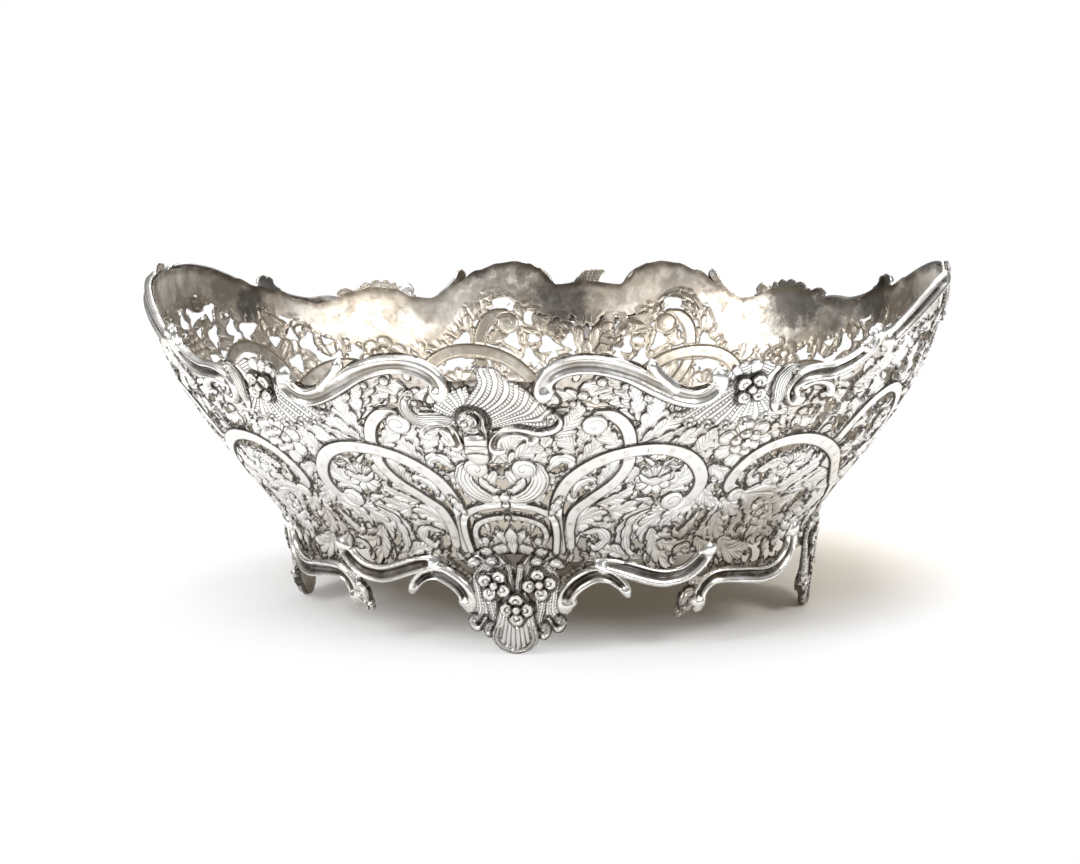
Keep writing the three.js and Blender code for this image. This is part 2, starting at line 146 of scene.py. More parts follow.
def height_of(v):
    """Height in millimetres at chart height v: in proportion below the waist, by the table above it."""
    share = np.interp(v / CHART_RIM * CLIMB_RIM, CLIMB_TABLE, SHARE_TABLE)
    share = share + np.maximum(0, v - CHART_RIM * PAST_RIM) / CHART_RIM
    return np.where(v < 0, WAIST_HEIGHT * (1 - v / CHART_GROUND), WAIST_HEIGHT + WALL_RISE * share)


def turn_of(s):
    """Angle round the oval at chart place s, in radians from the middle of the front, by the table."""
    turns = np.floor(s / HALF_ROUND)
    return np.interp(s - turns * HALF_ROUND, ROUND_TABLE, TURN_TABLE) + turns * np.pi


def oval_point(turn, z):
    """Point of the oval at height z: x is half length times sine, y minus half width times cosine."""
    half_length, half_width = oval_at(z)
    return np.stack([half_length * np.sin(turn), -half_width * np.cos(turn), z], -1)


TURN_STEP = 1e-3        # radians and millimetres between the points that give the wall's slope
HEIGHT_STEP = 0.4


def on_wall(s, v, lift):
    """Chart point (s, v) on the bowl, moved out along the wall's normal by lift. Not below ground."""
    turn, z = turn_of(s), height_of(v)
    along = oval_point(turn + TURN_STEP, z) - oval_point(turn - TURN_STEP, z)
    up = oval_point(turn, z + HEIGHT_STEP) - oval_point(turn, z - HEIGHT_STEP)
    normal = np.cross(along, up)
    normal /= np.linalg.norm(normal, axis=-1, keepdims=True)
    point = oval_point(turn, z) + normal * np.asarray(lift)[..., None]
    point[..., 2] = np.maximum(point[..., 2], 0)
    return point * MM


def wall_scale(v):
    """How wide one chart millimetre of s really is at chart height v."""
    return oval_at(height_of(v))[0] / CHART_HALF[0]


def quarter_line(edge, s):
    """An edge line's height at s, folded into one quarter and eased between its points."""
    folded = np.abs((s + END) % HALF_ROUND - END)
    k = np.clip(np.searchsorted(edge[:, 0], folded, side="right"), 1, len(edge) - 1)
    s0, v0, s1, v1 = edge[k - 1, 0], edge[k - 1, 1], edge[k, 0], edge[k, 1]
    t = np.clip((folded - s0) / (s1 - s0), 0, 1)
    return v0 + (v1 - v0) * eased(t)


# What worked shapes paint on a chart, and each field's value where nothing is painted.
BLANK = {
    "solid": -9.0,      # depth inside the metal, negative in the open
    "height": 0.0,      # relief
    "edge": 9.0,        # distance to the nearest chased outline
    "vein": 0.0,        # count of chased veins across a shape
    "gap": 0.0,         # millimetres between veins, 0 where there are none
    "bead": 0.0,        # count of beads along a shape, 0 where there are none
    "deep": 0.0,        # tarnish that a hollow holds, and in places painted shade
    "ground": 1.0,      # 1 on the plain ground between shapes
    "through": 1.0,     # how much of the relief shows on the back
}
PAINTED = tuple(BLANK)[2:]
WINDOW_MARGIN = 1.5     # millimetres of chart round a shape that it can change
SUNK_WIDTH = 1.4        # width of the ground that sinks beside a shape
SUNK_SHARE = 0.75       # share of its relief that the ground loses there


class Chart:
    """A grid of chart places, with the fields that the worked shapes paint on it."""

    def __init__(self, s, v):
        self.s, self.v = s, v
        for name, blank in BLANK.items():
            setattr(self, name, np.full((len(v), len(s)), blank))

    def window(self, low, high):
        """The part of the chart between two corners, with a margin, and the places of its cells."""
        i0, i1 = np.searchsorted(self.s, [low[0] - WINDOW_MARGIN, high[0] + WINDOW_MARGIN])
        j0, j1 = np.searchsorted(self.v, [low[1] - WINDOW_MARGIN, high[1] + WINDOW_MARGIN])
        x, y = np.meshgrid(self.s[i0:i1], self.v[j0:j1])
        return (slice(j0, j1), slice(i0, i1)), x, y

    def around(self, centre, reach):
        """The window round a place, and how far its cells are from it: aside, up and in all."""
        s, v = centre
        w, x, y = self.window((s - reach, v - reach), (s + reach, v + reach))
        return w, x - s, y - v, np.hypot(x - s, y - v)

    def beside(self, line, reach):
        """The window round a line, what locate says of its cells, and their places."""
        w, x, y = self.window(line.min(0) - reach, line.max(0) + reach)
        return w, *locate(x, y, line), (x, y)

    def lay(self, w, inside, **values):
        """Gives fields new values inside a mask."""
        for name, value in values.items():
            field = getattr(self, name)
            field[w] = np.where(inside, value, field[w])

    def stamp(self, w, depth, height, vein=0.0, gap=0.0, deep=0.0, bead=0.0, weight=0.0):
        """Lays one shape over what is there, and sinks the ground just outside its outline. Weight
        thickens the outline that is chased round it."""
        self.solid[w] = np.maximum(self.solid[w], depth)
        self.edge[w] = np.minimum(self.edge[w], np.maximum(-depth, 0))
        self.height[w] *= 1 - SUNK_SHARE * np.clip(1 + depth / SUNK_WIDTH, 0, 1)
        self.lay(w, depth > 0, edge=depth - weight, height=height, vein=vein, gap=gap, deep=deep,
                 bead=bead, ground=0.0)

    def score(self, w, inside, distance):
        """Chases a line inside a shape that is already there."""
        self.lay(w, inside, edge=np.minimum(self.edge[w], distance))


def smooth_line(points, per=8):
    """Catmull-Rom curve: each stretch is the cubic through two points that leans on their neighbours."""
    p = np.asarray(points, float)
    e = np.vstack([2 * p[0] - p[1], p, 2 * p[-1] - p[-2]])
    t = np.linspace(0, 1, per, endpoint=False)[None, :, None]
    a, b, c, d = (e[k:len(e) - 3 + k, None] for k in range(4))
    run = 0.5 * (2 * b + (c - a) * t + (2 * a - 5 * b + 4 * c - d) * t**2 + (3 * b - 3 * c + d - a) * t**3)
    return np.vstack([run.reshape(-1, 2), p[-1:]])


def locate(x, y, line):
    """Nearest place on a line for each point: share of its length, and distance, positive on the left."""
    span = np.hypot(*np.diff(line, axis=0).T)
    run = running_total(span)
    best = np.full(x.shape, 1e9)
    share, side = np.zeros(x.shape), np.ones(x.shape)
    for k, size in enumerate(span):
        ax, ay = line[k]
        ux, uy = (line[k + 1] - line[k]) / size
        along = np.clip((x - ax) * ux + (y - ay) * uy, 0, size)
        dx, dy = x - ax - along * ux, y - ay - along * uy
        away = dx * dx + dy * dy
        nearer = away < best
        best = np.where(nearer, away, best)
        share = np.where(nearer, (run[k] + along) / run[-1], share)
        side = np.where(nearer, np.where(ux * dy - uy * dx < 0, -1, 1), side)
    return share, np.sqrt(best) * side, run[-1]


SPIRAL_TURNS = 1.3      # turns of the line that is chased on a round boss


def disc(c, centre, r, height, spiral=True):
    """A round boss: a dome, with one chased line that winds out from its middle."""
    w, dx, dy, away = c.around(centre, r)
    dome = height * (0.5 + 0.5 * domed(away / r))
    if spiral:
        vein = away / r * SPIRAL_TURNS + np.arctan2(dy, dx) / (2 * np.pi)
        c.stamp(w, r - away, dome, vein, r / SPIRAL_TURNS)
    else:
        c.stamp(w, r - away, dome)


LEAF_CUT = 0.34         # how deep the notches between a plain leaf's lobes are
LEAF_VEINS = 1.25       # millimetres of half width to each of its veins


def leaf(c, points, width, lobes, lean=0.0, height=1.0, curl=True):
    """A lobed leaf: a spine with a half width of a bent sine, notched by lobes, and veins along it."""
    line = smooth_line(points)
    w, t, d, length, (x, y) = c.beside(line, width)
    past = np.hypot(x - line[-1, 0], y - line[-1, 1])
    half = width * (0.10 * (1 - t) + np.sin(np.pi * np.clip(t, 0, 0.985) ** 1.25) ** 0.75)
    half = half * np.where(d > 0, 1 + lean, 1 - lean)
    a = np.abs(d)
    lobed = np.abs(np.sin(np.pi * (lobes * (t - 0.55 * a / length) + 0.15))) ** 0.7
    out = half * (1 - LEAF_CUT + LEAF_CUT * lobed)
    depth = (out - a) * 0.8
    depth = np.where(t <= 0, -1.0, np.where(t >= 1, np.minimum(depth, 0.9 - past), depth))
    count = max(2, round(width / LEAF_VEINS))
    dome = domed(a / np.maximum(out, 0.3))
    relief = height * (0.25 + 0.75 * dome * (0.6 + 0.4 * lobed)) * np.clip(t * 5, 0.35, 1)
    c.stamp(w, depth, relief, d / np.maximum(half, 0.3) * count, half / count)
    if curl:
        disc(c, line[-1], min(1.9, 0.26 * width + 0.5), height * 1.15)


CURLED = 15.0           # a spray longer than this ends in a rolled tip
LOBE_PITCH = 6.6        # millimetres along a spray's spine from one lobe to the next
LOBE_VEINS = 3          # veins along each of its lobes


def spray(c, root, tip, spread, twist, height=1.0):
    """An acanthus leaf on a spine that bends by twist and curls at its tip. Lines that leave the spine
    along it and swing outward, the length along less a multiple of the square root of the distance
    aside, part its lobes, notch its outline and carry its veins."""
    root, tip = np.asarray(root, float), np.asarray(tip, float)
    ahead = tip - root
    reach = np.hypot(*ahead)
    aside = np.array([-ahead[1], ahead[0]])
    bow = 0.34 * twist
    line = smooth_line([root, root + 0.28 * ahead - 0.75 * bow * aside, root + 0.58 * ahead - bow * aside,
                        root + 0.86 * ahead - 0.62 * bow * aside, root + ahead + 0.1 * bow * aside,
                        root + 0.98 * ahead + 0.10 * np.sign(twist) * aside])
    wide = reach * np.sin(np.radians(spread)) * 0.56 + 0.5
    w, t, d, length, _ = c.beside(line, wide)
    a = np.abs(d)
    half = wide * (0.16 + 0.84 * np.sin(np.pi * np.clip(t, 0, 1) ** 0.85) ** 0.8)
    half = half * np.where(d * twist > 0, 0.78, 1.12)
    lobes = max(2, round(length / LOBE_PITCH))
    q = (t * length - 1.7 * np.sqrt(a * wide)) / length * lobes
    tips = np.abs(np.sin(np.pi * q)) ** 0.5
    out = half * (0.50 + 0.50 * tips)
    depth = (out - a) * 0.85
    crease = np.abs((q + 0.5) % 1 - 0.5) * length / lobes * 0.8
    outer = a / np.maximum(half, 0.3)
    relief = height * (0.52 + 0.48 * np.sqrt(np.clip(crease / 1.4, 0, 1)) * np.clip(outer * 2.4, 0.4, 1))
    relief = relief * np.clip(0.6 + depth, 0.6, 1)
    veined = (t < 0.85) & (outer > 0.15) & (depth > 0.7)
    c.stamp(w, depth, relief, q * LOBE_VEINS, np.where(veined, 0.8 * length / lobes / LOBE_VEINS, 0.0))
    c.score(w, (depth > 0) & (outer > 0.30), crease + 0.9 * np.clip(0.65 - outer, 0, 1))
    c.score(w, (depth > 0) & (t < 0.9), a + 0.16)
    if reach > CURLED:
        disc(c, line[-1], 0.09 * reach, 1.15 * height)


def band(c, points, half, height=1.1, dashes=9.0, end_share=1.0, deep=0.0):
    """A flat ribbon along a curve, with pairs of short dashes chased across it."""
    w, t, d, length, _ = c.beside(smooth_line(points), half)
    wide = half * (1 - (1 - end_share) * t)
    a = np.abs(d)
    depth = wide - a
    c.stamp(w, depth, height * (0.75 + 0.25 * np.clip(depth / 0.8, 0, 1)), deep=deep, weight=0.25)
    if dashes:
        off = np.abs(t * length / dashes % 1 - 0.5) * dashes
        c.score(w, (depth > 0) & (a < 0.42 * wide), 0.15 + np.abs(off - 0.5))


def flower(c, centre, r, petals, height, turned=0.0, ball=0.28, deep=0.22, veins=4):
    """Petals round a ball: the outline is a cosine of the angle, and creases part the petals."""
    w, dx, dy, away = c.around(centre, r)
    turn = np.arctan2(dy, dx) + turned
    out = r * (1 - deep + deep * np.abs(np.cos(petals * turn / 2)) ** 0.7)
    split = np.abs((turn * petals / (2 * np.pi) + 0.5) % 1 - 0.5)
    crease = away * (0.5 - split) * 2 * np.pi / petals
    relief = height * (0.3 + 0.7 * np.sqrt(np.clip(crease / (0.25 * r), 0, 1)))
    relief = relief * np.clip((out - away) / 1.2, 0.25, 1)
    depth = (out - away) * 0.9
    count = turn * petals * veins / (2 * np.pi)
    c.stamp(w, depth, relief, count, away * 2 * np.pi / petals / veins if veins else 0.0)
    c.score(w, (depth > 0) & (away > ball * r), crease)
    if ball:
        disc(c, centre, ball * r, height * 1.25, spiral=False)


# One quarter of the sheet's work, from the middle of the front (s = 0) to the end (s = END).
SPRAYS = [  # root, tip, spread in degrees, twist
    ((10, 39), (19, 61), 36, -0.5), ((14, 36), (22, 50), 30, -0.4), ((4, 58), (12, 74), 30, -0.4),
    ((5, 56), (19, 66), 26, -0.4), ((29, 54), (21, 72), 32, 0.6), ((30, 55), (30, 76), 18, 0.4),
    ((31, 56), (39, 72), 30, 0.2), ((52, 78), (33, 92), 32, 0.7), ((52, 79), (40, 97), 20, 0.3),
    ((52, 78), (48, 94), 18, 0.2), ((53, 68), (57, 88), 28, 0.3), ((55, 68), (68, 82), 26, 0.2),
    ((57, 66), (73, 75), 18, 0.2), ((66, 62), (82, 72), 22, -0.2), ((78, 56), (84, 71), 26, -0.2),
    ((48, 65), (40, 77), 28, -0.4), ((37, 38), (44, 58), 34, 0.4), ((30, 35), (34, 51), 26, -0.5),
    ((68, 38), (77, 56), 28, 0.3), ((52, 38), (52, 54), 24, 0.3), ((38, 30), (62, 37), 20, 0.4),
    ((40, 34), (54, 43), 20, 0.3), ((31, 11), (44, 27), 36, -0.9), ((70, 33), (57, 7), 22, 0.5),
    ((82, 31), (66, 12), 26, 0.6), ((90, 30), (74, 18), 22, 0.7), ((68, 18), (83, -3), 18, 0.2),
    ((102, 37), (93, 8), 26, -0.3), ((100, 34), (112, 23), 28, 0.3), ((94, 10), (110, 2), 20, 0.3),
    ((100, 24), (110, 10), 26, 0.4), ((60, 1), (41, 7), 18, 0.3), ((74, 10), (91, 9), 22, 0.4),
    ((86, 52), (100, 46), 24, 0.3), ((122, 58), (111, 78), 38, 0.5), ((134, 59), (125, 81), 26, 0.4),
    ((140, 57), (133, 82), 18, 0.3), ((148, 56), (142, 81), 26, 0.4), ((151, 64), (150, 86), 24, -0.2),
    ((104, 58), (108, 70), 26, 0.3), ((108, 48), (114, 38), 28, 0.4), ((118, 56), (117, 36), 26, -0.6),
    ((122, 30), (142, 47), 28, 0.5), ((134, 28), (152, 42), 24, 0.3), ((108, 33), (122, 12), 38, -0.8),
    ((140, 30), (121, 25), 34, -0.6), ((142, 26), (136, 3), 36, 0.8), ((110, 8), (130, 2), 30, 0.6),
    ((146, 32), (168, 18), 34, -0.8), ((150, 20), (154, -1), 34, -0.6),
    ((188, 24), (168, 10), 34, 0.7), ((166, 8), (180, -4), 30, 0.6), ((186, 18), (186, 0), 28, 0.4),
    ((154, 58), (170, 62), 26, -0.4), ((158, 48), (180, 52), 24, -0.4),
    ((156, 78), (164, 101), 24, 0.2), ((152, 78), (153, 99), 22, 0.3),
    ((168, 79), (180, 101), 26, 0.2), ((178, 76), (192, 96), 26, 0.2), ((186, 70), (202, 88), 24, 0.2),
    ((188, 60), (209, 74), 24, 0.2), ((190, 46), (206, 60), 28, 0.3), ((176, 32), (192, 44), 26, 0.4),
    ((186, 20), (196, 40), 28, 0.3), ((178, 30), (160, 26), 22, 0.3), ((198, 88), (212, 104), 24, 0.2),
    ((190, 96), (206, 104), 22, -0.3), ((158, 102), (180, 106), 16, -0.3),
    ((206, 56), (210, 80), 26, 0.1), ((22, 72), (30, 86), 28, 0.3), ((18, 66), (16, 80), 24, 0.2),
    ((98, 76), (112, 84), 24, 0.3), ((84, 42), (98, 30), 22, 0.4), ((124, 50), (110, 44), 20, 0.3),
    ((70, 86), (84, 92), 20, 0.2), ((140, 84), (150, 92), 24, 0.3),
]
LEAVES = [  # places from root to tip, half width, lobes, lean to the left
    ([(18, 52), (24, 59), (28, 57), (27, 53)], 2.8, 4, 0.3),
    ([(30, 37), (31, 44), (36, 48), (38, 45)], 3.0, 4, 0.2),
    ([(56, 60), (60, 56), (63, 52)], 1.2, 1, 0),
    ([(34, 16), (42, 18), (46, 13), (42, 8.5), (38.5, 11)], 3.0, 3, 0.1),
    ([(29, 4), (31, 11), (34, 17)], 1.5, 1, 0), ([(56, 36), (62, 35), (66, 31)], 2.0, 3, 0),
    ([(66, 29), (58, 24), (57, 13), (60, 5), (65, 4)], 2.6, 5, -0.2),
    ([(90, 26), (88, 20), (84, 13), (80, 16)], 2.8, 4, 0.2),
    ([(94, 4), (90, 6), (86, 4), (86, 0)], 2.4, 2, 0),
    ([(123, 61), (118, 68), (118, 75), (122, 76)], 2.3, 3, 0),
    ([(134, 60), (136, 64), (139, 61)], 2.2, 1, 0), ([(120, 56), (112, 58), (104, 63)], 1.6, 1, 0),
    ([(150, 66), (155, 74), (160, 70)], 2.0, 2, 0),
]
BANDS = [  # places, half width, share of it left at the far end
    ([(150, 44), (160, 40), (170, 33), (180, 24), (188, 14)], 2.9, 1.0),
    ([(147, 52), (150, 62), (157, 73), (167, 78), (177, 75), (186, 66), (190, 55), (186, 46), (180, 46)],
     2.8, 0.8),
    ([(103, 36), (98.5, 40), (99.5, 48), (105, 56), (114, 60.5), (124, 61), (134, 58.5), (145, 53),
      (155, 46), (163, 38), (172, 30)], 3.0, 1.0),
    ([(29, 10), (28.5, 20), (30.5, 30), (38, 38), (46, 46), (50.5, 55), (50.5, 66), (48, 75), (43, 80.5),
      (38, 81)], 2.7, 1.0),
    ([(24, 8), (22.5, 22), (22.5, 34), (27, 47), (37, 57), (48, 62), (60, 63.4), (70, 61), (78, 55),
      (83.4, 46), (83.6, 38), (80, 32.4), (75, 30.5)], 3.1, 1.0),
]
BAND_DULL = 0.38        # a little tarnish on the bands' flat faces
BAND_ENDS = [((73.5, 34.0), 5.0), ((36.5, 76.5), 4.8), ((104.5, 33.5), 4.0), ((182, 44), 4.4)]
FLOWERS = [  # place, radius, petals, height, and what differs from the usual flower
    ((97, 62), 12.4, 7, 1.0, {"deep": 0.26, "veins": 3}),
    ((97.5, 62.5), 6.8, 6, 1.5, {"turned": 0.3, "ball": 0.33, "veins": 0}),
    ((63, 46), 8.5, 9, 1.1, {"turned": 0.5, "ball": 0}),
    ((128, 46), 7.5, 8, 1.0, {"ball": 0.25}), ((130, 17), 6.4, 5, 1.1, {"ball": 0.3}),
    ((159, 10), 7.0, 6, 1.1, {"turned": 0.4, "ball": 0.3}), ((181, 60), 6.5, 6, 1.1, {"ball": 0.3}),
    ((200, 84), 6.0, 6, 1.1, {"ball": 0.3}),
]
FLOWER_LEAF = ([(56, 50), (60, 46), (66, 46), (70, 50)], 2.4, 3)    # across the third flower


def from_start(points, start, side):
    """Places given from a chart start on, to the side of it that the sign of side says."""
    return [(start + side * s, v) for s, v in points]


def mirrored_pair(middle):
    """The two sides of something symmetrical about s = middle: each turns offsets into chart places."""
    return [lambda points, side=side: from_start(points, middle, side) for side in (1, -1)]


def heart(c, middle):
    """Two fluted curls that make a heart, each with a round pad at its top and a small leaf within it."""
    for place in mirrored_pair(middle):
        lobe(c, place([(1.4, 37.4), (8.0, 38.4), (13.2, 42.4), (15.8, 48.6), (14.6, 54.6)]),
             [1.6, 3.2, 4.0, 3.9, 3.4], 3, 1.6, 1.2)
        leaf(c, place([(1.0, 42.4), (5.0, 42.6), (8.4, 46.2), (9.2, 50.4)]), 2.2, 2, 0.3, curl=False)
        disc(c, place([(9.6, 55.2)])[0], 5.0, 1.8)
    disc(c, (middle, 38.8), 2.4, 1.6, spiral=False)


def arch(c, middle):
    """The double arch above a foot, with a trefoil under it."""
    for place in mirrored_pair(middle):
        band(c, place([(22, 7), (22.4, 17), (20.6, 26), (14.6, 31.6), (6, 34), (0, 34.4)]), 2.0, 1.2, 0)
        band(c, place([(12.6, 13), (15.8, 12), (17.4, 16.6), (14.6, 22.6), (7, 26.2), (0, 27)]), 1.7, 1.0, 4)
        leaf(c, place([(19, 27), (22, 33), (24, 38)]), 2.4, 3)
        leaf(c, place([(1, 6), (6, 8), (11.4, 5)]), 3.2, 2)
        leaf(c, place([(0.6, 9), (4.6, 14), (6.6, 18.6)]), 2.8, 2, 0.2)
        leaf(c, place([(10, 1), (14, 6), (19, 5)]), 2.6, 3)
        disc(c, place([(13.2, 12.8)])[0], 2.2, 1.2)
    leaf(c, [(middle, 3), (middle, 11), (middle, 21)], 3.4, 2, curl=False)


SMALL_PITCH = 11        # millimetres between the small leaves that fill the ground


def small_leaves(c):
    """Small leaves on a shaken grid, that fill the ground behind the larger work."""
    shake = np.random.default_rng(4)
    for s in np.arange(3, END, SMALL_PITCH):
        for v in np.arange(-9, 116, SMALL_PITCH):
            p = np.array([s, v]) + shake.uniform(-2.8, 2.8, 2)
            turn, reach = shake.uniform(0, 2 * np.pi), shake.uniform(5.0, 7.0)
            bend = shake.uniform(-0.9, 0.9)
            back = p - reach * np.array([np.cos(turn), np.sin(turn)])
            ahead = p + reach * np.array([np.cos(turn + bend), np.sin(turn + bend)])
            spray(c, back, ahead, 30, bend, 0.6)


# Openings between leaves: grid pitch, lowest and highest v, least and greatest radius, and seed.
SMALL_OPENINGS = (7.6, -6, 60, (1.7, 2.7), 9)
LARGE_OPENINGS = (10.4, 56, 106, (2.7, 4.2), 21)
SHAKE = 0.26            # share of the pitch that an opening may lie off its grid place
FRONT_OPENED = 118.0    # the front's upper leaves are whole up to this chart place


def pierce(c, pitch, low, high, radius, seed, start=0.0):
    """Three-cornered openings on a shaken grid between two chart heights, from a chart place on."""
    shake = np.random.default_rng(seed)
    for s in np.arange(0.5 * pitch, END, pitch):
        for v in np.arange(low, high, pitch):
            x, y = s + shake.uniform(-SHAKE, SHAKE) * pitch, v + shake.uniform(-SHAKE, SHAKE) * pitch
            r, long, turn = shake.uniform(*radius), shake.uniform(1.1, 1.7), shake.uniform(0, 2 * np.pi)
            if s < start or y > quarter_line(PLAIN_EDGE, x) - r:
                continue
            w, dx, dy, _ = c.around((x, y), 2 * r)
            along = (dx * np.cos(turn) + dy * np.sin(turn)) / long
            across = dy * np.cos(turn) - dx * np.sin(turn)
            corners = 1 + 0.24 * np.cos(3 * np.arctan2(across, along) + turn)
            away = np.hypot(along, across * (1 + 0.35 * along / r)) * corners - r
            c.solid[w] = np.minimum(c.solid[w], away)
            c.edge[w] = np.minimum(c.edge[w], np.abs(away))


SHEET_GROUND = 0.35     # plain ground left round each worked shape
FOOT_MARGIN = 3.0       # unpierced band above the foot border
CHART_LOW, CHART_HIGH = -13, 124    # chart heights between which the sheet is worked out

# Chart routes of the scrolls over one quarter, each from one hooked end to the other.
RIM_SCROLL = [
    (20.6, 87.6), (18.8, 90.4), (18.2, 94.2), (20.0, 98.4), (24.6, 101.6), (31, 103.0), (39, 102.2),
    (48, 98.9), (56.4, 93.4), (65, 88.4), (71.8, 86.5), (76.8, 88.0), (79.6, 91.6), (79.2, 95.0),
    (76.4, 95.6),
]
RIM_BRANCH = [(66, 89.6), (62, 93.4), (58.2, 97.2), (55.6, 100.8), (54.8, 104.2)]
END_SCROLL = [
    (115.8, 84.2), (113.2, 82.4), (110.4, 83.6), (109.0, 87.2), (110.6, 90.8), (114.6, 92.6),
    (120, 93.0), (126, 93.0), (134, 95.6), (140.6, 99.6), (144.6, 104.4), (147.2, 108.8),
]
END_TIP = [(138, 98.4), (142, 103.2), (143.6, 108.2)]
CREST_SCROLL = [
    (149, 99.6), (152, 101.4), (159, 106), (171, 112), (183, 116), (194, 118), (204, 118.6), (206, 121),
]
CARTOUCHE_SCROLL = [
    (113.8, 86.0), (114.6, 88.4), (118, 89.8), (123, 88.8), (126.6, 86.0), (127.6, 83.0), (125.6, 82.0),
]
FOOT_ARM = [
    (29.6, -21.2), (27.6, -19.6), (26.9, -16.8), (27.6, -13.8), (29.9, -10.9), (34.4, -7.8),
    (42.3, -4.9), (50.3, -6.2), (55.7, -9.5), (59.1, -12.7), (61.2, -16.4),
]
FOOT_SCROLL_INNER = [
    (41.8, -2.6), (46, -1.5), (50.2, -1.3), (58.2, -3.3), (66.4, -5.6), (73.1, -7.4), (80.4, -8.5),
    (89, -8.0), (94.7, -6.4), (100.4, -3.0), (104.2, 1.0), (104.6, 6.0),
]
FOOT_SCROLL_OUTER = [
    (98.2, -23.4), (100.2, -22.4), (101.0, -17.6), (103.7, -13.4), (109.6, -10.6), (118, -10.4),
    (130, -12.0), (143, -14.0), (155, -13.4), (164.4, -9.4), (168.6, -3.6), (168, 2.2), (164.4, 3.8),
]
SHELL_SCROLL_LEFT = [
    (-23.6, 72.0), (-25.6, 71.6), (-26.4, 73.4), (-23.6, 76.0), (-19.6, 76.8), (-16.4, 74.8),
    (-15.2, 71.0), (-14.8, 67.2), (-16.0, 66.2), (-17.2, 67.6),
]
SHELL_SCROLL_RIGHT = [
    (2.2, 66.8), (1.2, 65.0), (-0.6, 65.8), (-0.4, 69.4), (1.6, 72.6), (5.0, 74.6), (8.8, 74.8),
    (12.0, 73.4), (13.6, 71.0), (12.8, 69.0), (11.2, 69.8),
]
# The scrolls that lie on the sheet, and how far from their middle lines a dark line is painted round them,
# as the shade where they meet the sheet and the tarnish gathered there.
CONTACT_SHADE_AND_TARNISH = [(RIM_SCROLL, 3.6), (END_SCROLL, 3.6), (CARTOUCHE_SCROLL, 2.2)]


def sheet_quarter(step, opened):
    """The chart of one quarter of the sheet, worked and pierced. Its upper leaves are pierced from the
    chart place opened on."""
    c = Chart(np.linspace(0, END, round(END / step) + 1), np.arange(CHART_LOW, CHART_HIGH, step))
    small_leaves(c)
    pierce(c, *SMALL_OPENINGS)
    for work in SPRAYS:
        spray(c, *work)
    for work in LEAVES:
        leaf(c, *work)
    pierce(c, *LARGE_OPENINGS, opened)
    for place, r, petals, height, other in FLOWERS:
        flower(c, place, r, petals, height, **other)
    leaf(c, *FLOWER_LEAF)
    for points, half, end_share in BANDS:
        band(c, points, half, end_share=end_share, deep=BAND_DULL)
    for place, r in BAND_ENDS:
        disc(c, place, r, 1.6)
    for middle in (0, END):
        arch(c, middle)
        heart(c, middle)
    s, v = np.meshgrid(c.s, c.v)
    rim, foot = quarter_line(RIM_EDGE, s), quarter_line(FOOT_EDGE, s)
    band_edge = quarter_line(PLAIN_EDGE, s) + 2.0 * np.sin(s / 7) + 1.4 * np.sin(s / 2.9)
    plain = np.maximum(v - band_edge, foot + FOOT_MARGIN - v)
    c.solid = np.maximum(c.solid + SHEET_GROUND, plain)
    c.solid = np.minimum(c.solid, np.minimum(rim - v, v - foot))
    c.edge = np.minimum(c.edge, np.abs(rim - v) + 0.25)
    c.through = np.clip((band_edge + 3 - v) / 5, 0, 1)
    # Painted shade: a dark line on the sheet round each scroll, with tarnish.
    for route, reach in CONTACT_SHADE_AND_TARNISH:
        w, _, d, _, _ = c.beside(smooth_line(route), 7)
        c.edge[w] = np.minimum(c.edge[w], np.abs(np.abs(d) - reach) - 0.4)
    c.deep = np.maximum(c.deep, 0.95 - (rim - v) / 5)
    # Painted shade: the sheet darkens towards the foot border.
    c.deep = np.maximum(c.deep, 0.70 - np.maximum(v - foot, 0) / 34)
    return c


def boundary_edges(triangles, count):
    """Directed edges that only one triangle has."""
    edges = np.concatenate([triangles[:, [0, 1]], triangles[:, [1, 2]], triangles[:, [2, 0]]])
    key = np.minimum(edges[:, 0], edges[:, 1]) * count + np.maximum(edges[:, 0], edges[:, 1])
    _, first, times = np.unique(key, return_index=True, return_counts=True)
    return edges[first[times == 1]]


def vertex_normals(points, triangles):
    """Mean of the crossed sides of the triangles at each vertex."""
    a, b, c = (points[triangles[:, k]] for k in range(3))
    face = np.cross(b - a, c - a)
    total = np.stack([
        sum(np.bincount(triangles[:, k], face[:, axis], len(points)) for k in range(3)) for axis in range(3)
    ], -1)
    return total / np.maximum(np.linalg.norm(total, axis=1, keepdims=True), 1e-12)


